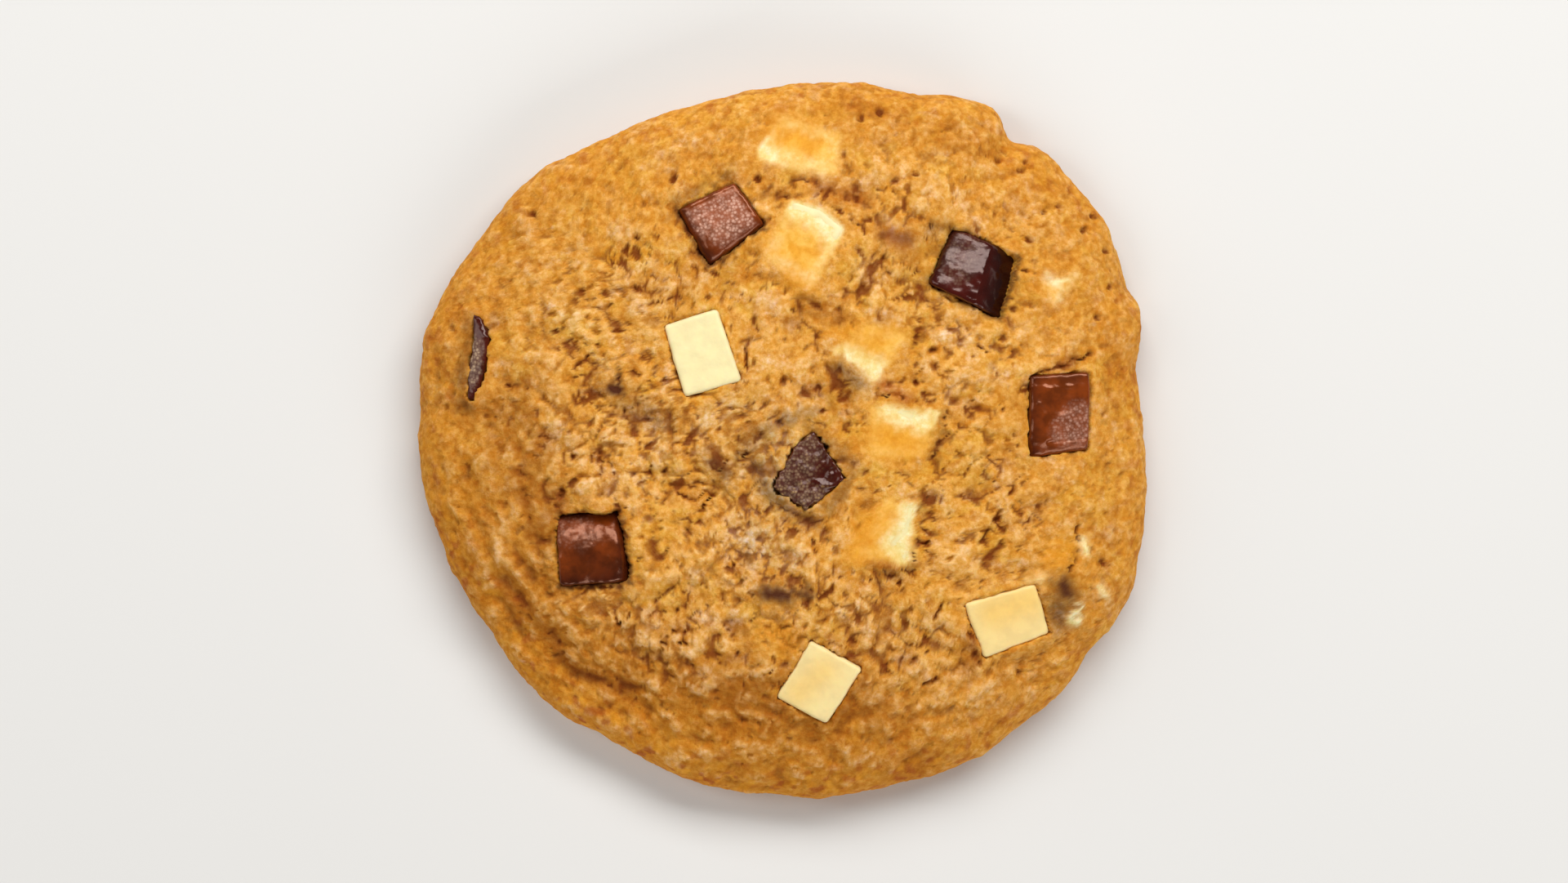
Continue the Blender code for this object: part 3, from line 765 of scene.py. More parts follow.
FINISHES = {
    # White chocolate: ivory and satin. Light sinks into it, so it looks soft as wax.
    Kind.WHITE: ChocolateFinish("white_chocolate_satin", body="FFECB2", toast_and_shade="FFC95C",
                                bloom_and_sheen="FFF6DC", crumb="D9A257", roughness=0.45, coat=0.05,
                                shine=0.5, gleam="FFFFFF", waxy=0.25, mottle=0.06),
    # Milk chocolate: reddish brown and smooth, with a broad, warm gleam.
    Kind.MILK: ChocolateFinish("milk_chocolate_satin", body="82370C", toast_and_shade="481808",
                               bloom_and_sheen="DEAE98", crumb="C99663", roughness=0.21, coat=0.08,
                               shine=0.78, gleam="FFBA96", waxy=0.03, mottle=0.35),
    # Dark chocolate: nearly black and opaque, with the sharpest gleam of the three.
    Kind.DARK: ChocolateFinish("dark_chocolate_glossy", body="450E07", toast_and_shade="230804",
                               bloom_and_sheen="C0A486", crumb="B8925C", roughness=0.17, coat=0.05,
                               shine=0.68, gleam="DCC4BC", waxy=0.0, mottle=0.3),
}


@dataclass
class Chunk:
    """One chunk or chip of chocolate, refined from its solid."""

    setting: Setting
    voxel: float = 0.20 * MM
    wear_mm: float = 0.07
    crust_height: float = 0.28 * MM
    carve_depth: float = 1.6 * MM

    def build(self) -> bpy.types.Object:
        """Model the chunk.

        Returns:
            The finished piece.
        """
        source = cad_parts[self.setting.node]
        obj = bpy.data.objects.new(self.setting.node + "_chocolate", source.data.copy())
        bpy.context.scene.collection.objects.link(obj)
        obj.data.materials.clear()
        pick(obj)
        bpy.ops.object.mode_set(mode="EDIT")
        bpy.ops.mesh.select_all(action="SELECT")
        bpy.ops.mesh.remove_doubles(threshold=0.001 * MM)
        bpy.ops.mesh.normals_make_consistent(inside=False)
        bpy.ops.object.mode_set(mode="OBJECT")
        remesh = obj.modifiers.new("even_faces", "REMESH")
        remesh.mode = "VOXEL"
        remesh.voxel_size = self.voxel
        bpy.ops.object.modifier_apply(modifier=remesh.name)
        self.shape(obj)
        return obj

    def shape(self, obj: bpy.types.Object) -> None:
        """Carve and wear the chunk, and store its toasting and painted shade, its bloom and painted
        highlight, and its crumb.
        """
        setting = self.setting
        mesh = obj.data
        places = read_places(mesh)
        normals = np.empty(len(mesh.vertices) * 3, np.float32)
        mesh.vertices.foreach_get("normal", normals)
        normals = normals.reshape(-1, 3)
        x = places[:, 0] + FORM_MIDDLE[0]
        y = places[:, 1] + FORM_MIDDLE[1]
        z = places[:, 2]
        under = (setting.shoulder(x, y) - z) / self.carve_depth
        carve = setting.carved(x, y)
        for groove in setting.grooves:
            carve += MM * groove.spread(x, y)
        wear = solid_noise(places, 2.4 * MM, 31.0) + 0.5 * solid_noise(places, 0.9 * MM, 32.0)
        places += normals * (-MM * self.wear_mm * (0.75 + wear))[:, None]
        dent = solid_noise(places, 1.5 * MM, 35.0) + 0.5 * solid_noise(places, 0.7 * MM, 36.0)
        places += normals * (MM * setting.dent_mm * dent)[:, None]
        crumb = np.zeros(len(x))
        if setting.crust:
            lump = 0.7 * solid_noise(places, 1.2 * MM, 41.0) + solid_noise(places, 0.7 * MM, 42.0)
            places += normals * (setting.crust * self.crust_height * (lump - 0.4))[:, None]
            pale = 0.6 * lump + solid_noise(places, 2.6 * MM, 43.0)
            crumb = setting.crust * (0.15 + 0.60 * smooth_step(0.0, 0.6, pale))
        places[:, 2] -= np.clip(1.0 - under, 0.0, 1.0) * carve
        write_places(mesh, places)
        top = smooth_step(0.35, 0.8, normals[:, 2])
        toast_and_shade = np.full(len(x), setting.toasted)
        for stroke in setting.toast_and_shade:
            toast_and_shade += stroke.spread(x, y)
        if setting.bare_mm and setting.kind is Kind.WHITE:
            toast_and_shade = 0.6 * smooth_step(-0.60, 0.25, setting.bare_distance(x, y) / MM)
        inner = -setting.signed_distance(x, y) / MM - setting.bloom_inset_mm
        bloom_and_sheen = setting.bloom_and_sheen * top * smooth_step(-0.25, 0.20, inner)
        if setting.bloom_and_sheen_mm:
            away = distance_to_path(x, y, setting.bloom_and_sheen_mm) / MM + 0.4 * bumps(x, y, 1.2 * MM, 33.0)
            bloom_and_sheen = bloom_and_sheen * (1.0 - smooth_step(1.2, 2.6, away))
            crumb = crumb * (1.0 - 0.75 * smooth_step(1.4, 3.2, away))
        write_values(mesh, "toast_and_shade", toast_and_shade)
        write_values(mesh, "bloom_and_sheen", bloom_and_sheen)
        write_values(mesh, "crumb", crumb)
        mesh.shade_smooth()

    def dress(self, obj: bpy.types.Object, materials: dict[Kind, bpy.types.Material]) -> None:
        """Give the chunk its chocolate and tie it to the cookie."""
        obj.data.materials.append(materials[self.setting.kind])
        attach(obj, "root")
        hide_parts(self.setting.node)


# What is drawn on the dough's top, as strokes placed against the photo.
CRACKS = (
    Stroke(((-25.6, 9.0), (-23.1, 10.9), (-21.9, 12.8), (-19.7, 13.4)), 0.5, 0.9),
    Stroke(((-18.5, 18.3), (-16.9, 16.4), (-12.8, 17.3)), 0.5, 0.8),
    Stroke(((27.7, -6.1), (26.6, -7.6), (25.7, -9.5), (24.0, -12.5)), 0.6, 1.1),
    Stroke(((20.1, -19.6), (18.3, -21.0), (16.9, -23.2)), 0.5, 0.9),
    Stroke(((-15.3, -24.5), (-12.1, -24.8)), 0.5, 0.9),
    Stroke(((-21.5, -25.0), (-17.6, -26.5), (-13.7, -28.9)), 0.7, 0.5),
    Stroke(((-21.0, -20.6), (-20.0, -22.1), (-19.1, -21.1)), 0.5, 0.9),
    Stroke(((-2.5, -28.3), (-0.2, -27.4)), 0.4, 0.7),
    Stroke(((-23.3, -4.5), (-19.7, -4.4)), 0.5, 0.8),
    Stroke(((-22.9, -0.8), (-22.6, -2.2), (-21.7, -2.6)), 0.5, 0.9),
    Stroke(((-18.7, -4.0), (-16.4, -3.8), (-16.2, -2.4)), 0.5, 0.9),
    Stroke(((-20.1, 9.0), (-20.2, 6.4), (-19.5, 4.4), (-19.4, 2.0)), 0.4, 0.9),
    Stroke(((-10.3, -9.0), (-9.2, -6.9), (-8.6, -4.7)), 0.6, 0.8),
    Stroke(((-9.0, -2.5), (-8.1, -4.0), (-6.9, -2.4)), 0.7, 0.9),
    Stroke(((-12.4, -10.4), (-11.0, -11.5)), 0.5, 0.8),
    Stroke(((-5.0, -1.8), (-3.7, -0.2), (-2.3, 1.0)), 0.7, 0.9),
    Stroke(((17.6, -6.5), (16.2, -8.6)), 0.5, 0.9),
    Stroke(((17.2, -12.5), (15.4, -12.8), (15.6, -14.8)), 0.5, 0.9),
    Stroke(((11.4, -16.4), (13.4, -16.2), (15.4, -15.4)), 0.6, 0.8),
    Stroke(((35.5, -10.4), (35.6, -14.2), (34.4, -16.6)), 0.35, 0.9),
    Stroke(((16.4, -29.7), (18.4, -29.4), (18.7, -28.4)), 0.5, 0.8),
    Stroke(((-1.0, 29.8), (2.8, 29.6), (6.6, 27.6), (9.8, 25.0)), 0.5, 0.9),
    Stroke(((0.1, 31.9), (4.0, 31.5)), 0.5, 0.8),
    Stroke(((19.6, 4.4), (19.4, 0.6), (18.0, -2.2)), 0.5, 0.9),
    Stroke(((11.6, 5.9), (15.0, 4.7)), 0.5, 0.9),
    Stroke(((22.4, 13.4), (23.2, 11.8), (24.4, 10.6)), 0.5, 0.9),
    Stroke(((29.6, 7.7), (32.8, 8.6), (34.9, 10.0), (37.2, 10.4)), 0.5, 1.1),
    Stroke(((28.7, 20.7), (31.1, 20.1)), 0.5, 0.8), Stroke(((-5.0, 12.3), (-4.6, 9.3)), 0.6, 1.0),
)

# Where the crumb is torn most.
CRAGGY = (
    Stroke(((-22.0, 4.0), (-14.0, 2.0), (-5.0, -3.0)), 7.0, 1.0),
    Stroke(((-25.0, -19.0), (-14.0, -27.0)), 6.0, 0.9),
    Stroke(((-6.0, -13.0), (4.0, -20.0)), 6.0, 0.8),
    Stroke(((-4.6, -10.6), (-0.6, -14.0)), 3.2, 1.15),
    Stroke(((22.0, 0.0), (27.0, -8.0)), 6.0, 0.45), Stroke(((4.0, 33.0), (14.0, 30.0)), 5.0, 0.6),
    Stroke(((24.0, 31.0), (31.0, 27.0)), 4.0, 0.7),
    Stroke(((-25.0, 16.0), (-18.0, 20.0)), 5.0, 0.6),
    Stroke(((8.0, -22.0), (19.0, -28.0)), 6.0, 0.75),
    Stroke(((12.0, 21.0), (19.0, 15.0)), 4.0, 0.6), Stroke(((8.0, 8.0), (18.0, 8.0)), 4.0, 0.5),
)

# Tints by the attribute that they fill.
TINT_STROKES = {
    # Dark smears of melted chocolate, and painted shadow along the lower edges of three chunks.
    "cocoa_and_shadow": (
        Stroke(((-20.9, 6.3), (-20.1, 6.0)), 0.9, 1.15),
        Stroke(((-20.1, 8.6), (-20.2, 6.4)), 0.4, 0.9),
        Stroke(((-19.4, 5.0), (-14.4, 2.4)), 1.7, 0.36),
        Stroke(((-2.4, -18.4), (0.4, -18.9)), 1.2, 1.0),
        Stroke(((1.0, -18.4), (2.8, -18.6)), 0.8, 0.90),
        Stroke(((2.6, -17.3), (2.9, -19.6)), 0.5, 0.6),
        Stroke(((-4.8, -13.6), (-4.4, -14.4)), 0.6, 0.5),
        Stroke(((6.2, 9.2), (9.0, 6.8)), 0.8, 0.50),
        Stroke(((12.2, 25.0), (14.6, 24.4)), 1.0, 0.50),
        Stroke(((17.6, 26.0), (20.0, 25.6)), 0.8, 0.60),
        Stroke(((33.6, -17.4), (34.2, -18.7)), 1.5, 1.0),
        Stroke(((33.2, -19.4), (33.0, -21.6)), 1.5, 0.70),
        Stroke(((-12.9, 29.0), (-6.7, 32.2)), 0.8, 0.45),
        Stroke(((-39.1, 4.8), (-38.6, 4.2)), 0.9, 0.6),
        Stroke(((-39.0, 7.0), (-38.2, 14.0)), 1.0, 0.55),
        Stroke(((16.2, -8.4), (16.6, -8.0)), 0.6, 0.6),
        # Painted shadow: cocoa brown along the lower and right edges of three chunks, where they meet
        # the dough.
        Stroke(((-13.3, 28.2), (-9.4, 21.0), (-2.5, 26.1)), 0.40, 0.85),
        Stroke(((17.2, 19.2), (26.3, 14.6), (28.4, 22.2)), 0.40, 0.85),
        Stroke(((-19.9, -9.4), (-18.8, -17.3), (-27.4, -17.8)), 0.40, 0.80),
        Stroke(((19.4, 3.6), (18.2, -1.8)), 0.6, 0.30),
        Stroke(((8.2, -4.4), (5.2, -8.2)), 0.9, 0.55),
        Stroke(((-3.6, -3.0), (-2.2, -6.0), (0.6, -8.4), (3.0, -9.6)), 1.1, 0.55),
        Stroke(((3.6, 1.4), (7.6, -2.6), (8.2, -4.0)), 1.0, 0.45),
        Stroke(((-5.6, -2.2), (-3.6, 0.4), (-0.8, 2.2), (3.4, 3.6)), 1.0, 0.40),
        Stroke(((-8.9, -2.4), (-7.2, -4.2)), 1.1, 0.65),
        Stroke(((-4.9, -0.4), (-3.0, 0.9)), 1.0, 0.50),
        Stroke(((11.4, -16.6), (15.2, -15.6)), 0.9, 0.35),
    ),
    # Greyish, floury crumb beside the dark chunks.
    "ash": (
        Stroke(((-4.6, -10.6), (-2.2, -13.8)), 2.2, 0.8),
        Stroke(((-1.6, -12.0), (0.6, -14.4)), 1.6, 0.8),
        Stroke(((-0.4, 1.6), (-1.7, -0.6), (-2.4, -3.4), (-1.2, -6.8)), 1.9, 1.0),
        Stroke(((7.0, 8.8), (9.8, 6.4)), 1.2, 0.50),
        Stroke(((14.4, 24.6), (15.8, 24.0)), 1.0, 0.25),
        Stroke(((33.0, -20.6), (33.6, -22.8)), 0.9, 0.6),
        Stroke(((17.4, 24.8), (18.4, 26.0)), 1.2, 0.4),
        Stroke(((-9.0, 3.4), (-3.6, 5.0)), 1.6, 0.45),
        Stroke(((-18.6, 3.6), (-13.6, 1.4)), 1.6, 0.35),
    ),
    # Reddish stains.
    "rust": (
        Stroke(((12.0, 6.6), (14.6, 5.2)), 0.9, 0.7),
        Stroke(((12.0, 24.9), (14.6, 24.4)), 1.1, 0.75),
        Stroke(((4.0, 31.0), (9.5, 29.2)), 1.2, 0.4),
        Stroke(((9.0, -13.8), (12.8, -15.2)), 0.8, 0.65),
        Stroke(((13.2, 5.6), (16.4, 4.6)), 0.5, 0.3),
    ),
    # Caramelised, golden edges beside the filmed white chunks.
    "honey": (
        Stroke(((-0.6, 37.2), (3.4, 36.8)), 1.5, 0.85),
        Stroke(((0.6, 20.6), (2.2, 19.4)), 1.6, 0.85),
        Stroke(((-2.0, 24.0), (-0.6, 22.0)), 1.4, 0.5),
        Stroke(((9.8, 11.6), (12.4, 13.0)), 1.3, 0.6),
        Stroke(((9.0, -13.4), (10.8, -10.0)), 1.8, 0.95),
        Stroke(((11.6, 0.6), (15.4, -0.9)), 1.8, 0.85),
        Stroke(((7.0, 12.8), (10.0, 12.8)), 1.3, 0.5),
        Stroke(((-2.4, -23.0), (1.0, -24.2)), 1.7, 0.5),
        Stroke(((32.0, -14.8), (34.4, -13.4)), 1.7, 0.75),
        Stroke(((29.8, -17.0), (31.0, -16.6)), 0.9, 0.8),
    ),
    # Pale crumbs of white chocolate.
    "cream": (
        Stroke(((35.5, -20.0), (35.0, -20.9), (35.0, -22.2)), 0.50, 1.0),
        Stroke(((31.9, 19.8), (33.4, 18.5), (33.0, 17.0)), 0.7, 0.36),
        Stroke(((35.0, 19.9), (33.4, 18.5)), 0.6, 0.32),
        Stroke(((-1.6, 34.3), (4.6, 33.0)), 1.0, 0.45), Stroke(((9.9, 9.0), (10.8, 8.0)), 0.8, 0.9),
        Stroke(((14.0, -12.4), (14.6, -13.8)), 0.9, 1.0),
        Stroke(((36.1, -12.0), (36.5, -13.4)), 0.50, 0.9),
        Stroke(((38.2, -17.8), (38.9, -18.9)), 0.45, 0.7),
        Stroke(((29.8, -17.0), (31.0, -16.6)), 0.75, 0.45),
    ),
    # Darker brown stretches, most of them along the lower rim and the lower left: partly browning,
    # partly painted shade on the side turned from the light.
    "browned_and_shade": (
        Stroke(((-36.0, -18.0), (-28.0, -29.0), (-21.0, -33.0), (-13.0, -36.0)), 6.0, 1.0),
        Stroke(((-34.0, -18.6), (-29.6, -23.8), (-26.2, -27.8), (-22.0, -30.4),
                (-16.0, -31.6)), 1.9, 0.90),
        Stroke(((-19.0, -26.0), (-12.0, -29.0)), 4.0, 0.50),
        Stroke(((-12.0, -40.0), (14.0, -40.0)), 4.6, 0.85),
        Stroke(((-16.0, -34.0), (7.0, -35.0)), 6.0, 1.1),
        Stroke(((8.0, 41.0), (24.0, 36.0)), 3.0, 0.25),
        Stroke(((-38.5, -17.0), (-33.5, -27.0), (-24.0, -35.5), (-10.0, -41.5),
                (3.0, -43.0)), 3.6, 1.15),
        Stroke(((5.0, -23.0), (11.0, -24.0)), 4.0, 0.30),
        Stroke(((28.0, 4.0), (28.0, -2.0)), 2.5, 0.20),
        Stroke(((-33.0, 3.0), (-31.0, -10.0)), 5.5, 0.60),
        Stroke(((14.0, 24.0), (17.0, 20.0)), 2.5, 0.35),
        Stroke(((-12.0, 19.0), (-17.0, 17.0)), 3.0, 0.30),
        Stroke(((5.0, 6.0), (8.0, 9.0)), 2.5, 0.15),
    ),
    # Painted shade in folds and cracks and beside some chunks.
    "hollow_shade": (
        Stroke(((-34.1, -18.2), (-29.6, -23.4), (-26.2, -27.3), (-23.5, -29.2),
                (-19.2, -30.4)), 1.2, 0.35),
        Stroke(((-27.6, -6.6), (-27.2, -8.4)), 0.9, 0.60),
        Stroke(((33.4, 9.0), (34.9, 9.9)), 0.8, 0.70), Stroke(((5.8, 8.6), (8.6, 6.6)), 1.0, 0.18),
        Stroke(((-9.0, -2.0), (-7.0, -3.2)), 1.2, 0.40),
        Stroke(((22.4, -23.8), (23.2, -27.0)), 0.7, 0.55),
        Stroke(((11.0, 14.2), (12.6, 15.4)), 0.9, 0.30),
    ),
}


@dataclass
class Skin:
    """The dough's skin while it is modelled, as grids of one value for each vertex.

    The form is the smooth shape: bearing, share of the way out, height, the normal's outward and
    upward parts, and plan places. Everything from ragged on is worked out over it.
    """

    bearing: Array
    share: Array
    height: Array
    out: Array
    up: Array
    x: Array
    y: Array
    ragged: Array = field(init=False)
    coarse: Array = field(init=False)
    fine: Array = field(init=False)
    depth: Array = field(init=False)
    cracked: Array = field(init=False)
    bed: Array = field(init=False)
    seated: Array = field(init=False)
    tints: dict[str, Array] = field(init=False)

    def __post_init__(self) -> None:
        """Start with no bed, no chunk and no tint anywhere, and a noise that frays edges."""
        blank = np.zeros_like(self.x)
        self.bed = blank
        self.seated = blank
        self.tints = {name: blank for name in ("gold", *TINT_STROKES)}
        self.ragged = 0.7 * bumps(self.x, self.y, 1.3 * MM, 51.0)
        self.ragged = self.ragged + 0.5 * bumps(self.x, self.y, 0.6 * MM, 52.0)

    @property
    def places(self) -> Array:
        """The smooth shape's places in rows."""
        return np.stack([self.x.ravel(), self.y.ravel(), self.height.ravel()], axis=1)

    @property
    def top(self) -> Array:
        """1 where the smooth shape faces up, falling to 0 on its flank."""
        return smooth_step(0.2, 0.35, self.up)

    def deepen(self, tint: str, values: Array) -> None:
        """Raise a tint to the given values where they are higher."""
        self.tints[tint] = np.maximum(self.tints[tint], values)


@dataclass
class Dough:
    """The baked round: one closed skin with crags, cracks, pits and a bed for each chunk."""

    form: Form = field(default_factory=Form)
    steps: int = 310
    hummock_spacing: float = 12.0 * MM
    hummock_height: float = 0.55 * MM
    crag_spacing: float = 4.6 * MM
    crag_height: float = 0.50 * MM
    rim_crag_share: float = 0.30
    rim_start: float = 0.62
    rim_end: float = 0.86
    bed_depth: float = 1.7 * MM
    chunk_rounding_mm: float = 0.45
    film_mm: float = 0.10
    film_reach_mm: float = 2.2
    bank_reach_mm: float = 1.1
    seam_drop: float = 0.40 * MM
    crease: Stroke = Stroke(((-34.1, -18.0), (-31.3, -21.4), (-28.9, -24.1), (-26.1, -27.2),
                             (-21.5, -29.6), (-18.5, -30.5)), 1.5, 0.75)
    ledge: Stroke = Stroke(((-34.9, -19.6), (-30.6, -25.2), (-27.4, -28.6), (-22.4, -31.4),
                            (-17.0, -32.6)), 2.0, 0.60)
    # Lumps and swellings: size and height in millimetres, and the share that reaches the rim.
    octaves: tuple[tuple[float, float, float], ...] = (
        (6.5, 0.60, 0.60), (3.8, 0.50, 0.75), (2.0, 0.24, 1.0), (1.1, 0.14, 1.1),
        (0.66, 0.07, 1.3))
    billows: tuple[tuple[float, float, float], ...] = (
        (3.3, 0.66, 0.60), (1.7, 0.34, 0.85), (0.95, 0.12, 1.2))
    # Seams between lumps: the lumps' size, half the seam's width in millimetres, and its depth.
    seams: tuple[tuple[float, float, float], ...] = (
        (3.6, 0.26, 0.90), (2.1, 0.20, 0.85))
    # Bearings in degrees of the folds along the lower rim.
    folds_at: tuple[float, ...] = (205.0, 235.0, 265.0, 300.0)
    fold_height: float = 0.55 * MM
    pits_mm: Places = (
        (-31.0, 27.5), (-13.6, 31.8), (-17.8, 24.5), (-17.8, 22.3), (-18.2, 18.1), (-33.8, 6.7),
        (-25.8, -2.0), (-22.6, -2.3), (-16.5, -3.8), (-14.4, -3.6), (-26.9, -6.2), (-20.0, -22.2),
        (-15.3, -14.3), (-3.3, 31.8), (5.0, 37.9), (6.9, 34.8), (9.4, 39.4), (11.6, 40.3),
        (13.3, 31.5), (15.8, 32.4), (8.8, 29.5), (25.8, 34.2), (29.3, 33.9), (28.7, 32.7),
        (33.1, 28.6), (31.4, 28.0), (36.4, 25.9), (39.3, 23.3), (39.6, 18.9), (38.1, 15.1),
        (27.6, 16.0), (29.6, 24.1), (12.4, 20.0), (12.0, 21.9), (3.8, 12.5), (15.8, 7.2),
        (18.1, 8.7), (17.8, 10.9), (33.7, 8.9), (-0.8, 2.3), (-3.0, 0.6), (16.0, -12.6),
        (22.7, -23.6), (23.0, -25.8), (23.4, -27.0), (28.6, -28.3), (39.1, -15.2), (-0.5, 7.0),
        (-8.0, 4.3), (-6.4, 4.1), (-8.0, 1.4), (-3.3, -11.8), (-27.3, -6.8), (37.9, 27.4))
    pit_mm: float = 0.42
    crumb_rise: float = 0.30 * MM
    # What rises above the crown is pressed down by this share, to stay as low as the solid.
    crown: float = 12.75 * MM
    crown_press: float = 0.62

    def skin_grid(self) -> tuple[Array, Array]:
        """Radius and bearing of a square grid of steps carried onto a disc with even areas."""
        line = np.linspace(-1.0, 1.0, self.steps + 1)
        u, v = np.meshgrid(line, line)
        radius = np.maximum(np.abs(u), np.abs(v))
        safe = np.where(radius > 0.0, radius, 1.0)
        wide = np.abs(u) >= np.abs(v)
        sideways = (math.pi / 4.0) * v / safe * np.sign(u) + np.where(u < 0.0, math.pi, 0.0)
        upright = math.pi / 2.0 - (math.pi / 4.0) * u / safe * np.sign(v)
        upright += np.where(v < 0.0, math.pi, 0.0)
        return radius, np.where(wide, sideways, upright)

    def torn(self, share: Array) -> Array:
        """1 on the craggy middle, falling to 0 on the smooth rim."""
        return 1.0 - smooth_step(self.rim_start, self.rim_end, share)

    def crags(self, x: Array, y: Array, share: Array) -> Array:
        """The relief that the solid has too, with a crease and a ledge that wander."""
        rough = self.rim_crag_share + (1.0 - self.rim_crag_share) * self.torn(share)
        height = self.hummock_height * bumps(x, y, self.hummock_spacing, 7.0)
        height += rough * self.crag_height * bumps(x, y, self.crag_spacing, 17.0)
        wander_x = x + 1.1 * MM * bumps(x, y, 3.2 * MM, 67.0)
        wander_y = y + 1.1 * MM * bumps(x, y, 3.2 * MM, 68.0)
        for fold in (self.crease, self.ledge):
            height -= MM * fold.spread(wander_x, wander_y)
        return height

    def opened(self, x: Array, y: Array) -> Array:
        """How far each place lies in a crack or a pit, from 0 to about 1."""
        across, along = (
            line + 0.55 * MM * bumps(x, y, 1.6 * MM, seed) + 0.2 * MM * bumps(x, y, 0.6 * MM, seed + 1.0)
            for line, seed in ((x, 61.0), (y, 63.0)))
        wide = np.maximum(0.52 + 0.7 * bumps(x, y, 1.7 * MM, 65.0), 0.24)
        deep = bumps(x, y, 1.3 * MM, 66.0) + 0.25 * bumps(x, y, 0.5 * MM, 69.0)
        deep = smooth_step(-0.35, 0.15, deep)
        depth = np.zeros_like(x)
        for crack in CRACKS:
            near = distance_to_path(across, along, crack.path_mm) / (crack.reach_mm * MM * wide)
            depth = np.maximum(depth, 1.2 * crack.strength * deep * np.exp(-1.6 * near * near))
        for spot in self.pits_mm:
            near = distance_to_path(across, along, (spot, spot)) / (self.pit_mm * MM)
            depth = np.maximum(depth, 1.2 * np.exp(-near * near))
        return depth

    def folds(self, x: Array, y: Array, share: Array) -> Array:
        """Long shallow folds that run along the lower rim, from about -1 to 1."""
        total = np.zeros_like(x)
        for degrees in self.folds_at:
            turn = math.radians(degrees)
            across = x * math.cos(turn) + y * math.sin(turn)
            along = y * math.cos(turn) - x * math.sin(turn)
            sway = 0.8 * MM * bumps(x, y, 3.0 * MM, 90.0)
            fold = bumps(along / 3.2, across + sway, 1.5 * MM, 91.0 + degrees)
            aside = np.degrees(np.abs(np.angle(np.exp(1j * (np.arctan2(y, x) - turn)))))
            total += fold * np.exp(-(aside / 20.0) ** 2)
        return total * smooth_step(0.58, 0.78, share)

    def crumb(self, places: Array, torn: Array) -> tuple[Array, Array]:
        """The finer relief: lumps, crumbs and granules, with open seams and pores between them.

        Args:
            places: Places on the smooth skin in rows.
            torn: 1 on the craggy middle and 0 on the smooth rim, one for each row.

        Returns:
            Heights to add, and how deep in a seam or pore each place is, from 0 to 1.
        """
        sway = [solid_noise(places, 1.5 * MM, 60.0 + 7.0 * axis) for axis in range(3)]
        drift = [solid_noise(places, 4.0 * MM, 80.0 + 7.0 * axis) for axis in range(3)]
        warped = places + MM * (0.25 * np.stack(sway, axis=1) + 0.7 * np.stack(drift, axis=1))
        height = np.zeros(len(places))
        depth = np.zeros(len(places))
        craggy = 0.5 * solid_noise(places, 5.0 * MM, 75.0) - 0.30
        for stroke in CRAGGY:
            craggy = np.maximum(craggy, stroke.spread(places[:, 0], places[:, 1]) - 0.30)
        for size_mm, high_mm, rim_share in self.octaves:
            lump = solid_noise(warped, size_mm * MM, 20.0 + 9.0 * size_mm)
            height += (rim_share + (1.0 - rim_share) * torn) * MM * high_mm * lump
        for size_mm, high_mm, rim_share in self.billows:
            lump = np.abs(solid_noise(warped, size_mm * MM, 40.0 + 9.0 * size_mm))
            keep = rim_share + (1.0 - rim_share) * torn
            height += keep * MM * high_mm * (np.sqrt(lump * lump + 0.0004) - 0.22)
        height *= 0.86 + 0.14 * np.clip(craggy + 0.5, 0.0, 1.0)
        nibble = [solid_noise(places, 0.8 * MM, 95.0 + 7.0 * axis) for axis in range(3)]
        edged = places + 0.60 * (warped - places) + 0.20 * MM * np.stack(nibble, axis=1)
        for size_mm, half_width_mm, most in self.seams:
            past = seam_distance(edged, size_mm * MM, 30.0 + size_mm)
            here = solid_noise(places, 0.7 * size_mm * MM, 79.0 + size_mm)
            width = half_width_mm / size_mm * (1.0 + 1.2 * here)
            open_here = smooth_step(0.0, 0.26, here + 0.50 * craggy)
            seam = np.exp(-(past / np.maximum(width, 0.02)) ** 2) * open_here
            depth = np.maximum(depth, most * (0.40 + 0.60 * torn) * seam)
        hole = solid_noise(warped, 1.5 * MM, 71.0) + 0.5 * solid_noise(warped, 0.7 * MM, 73.0)
        hole = smooth_step(0.42, 0.66, hole + 0.40 * craggy) * (0.5 + 0.5 * torn)
        pore = solid_noise(places, 0.70 * MM, 76.0)
        pore = 0.55 * smooth_step(0.42, 0.58, pore + 0.12 * craggy)
        return height, np.maximum(np.maximum(depth, hole), pore)

    def build(self) -> bpy.types.Object:
        """Model the dough.

        Returns:
            The finished piece, with attributes for its colours.
        """
        skin = self.lay_skin()
        self.draw_strokes(skin)
        for setting in SETTINGS:
            self.seat(skin, setting)
        relief = skin.coarse + skin.fine
        obj = self.raise_mesh(skin, relief)
        self.brown(skin, relief)
        for name, values in skin.tints.items():
            write_values(obj.data, name, values)
        obj.data.shade_smooth()
        return obj

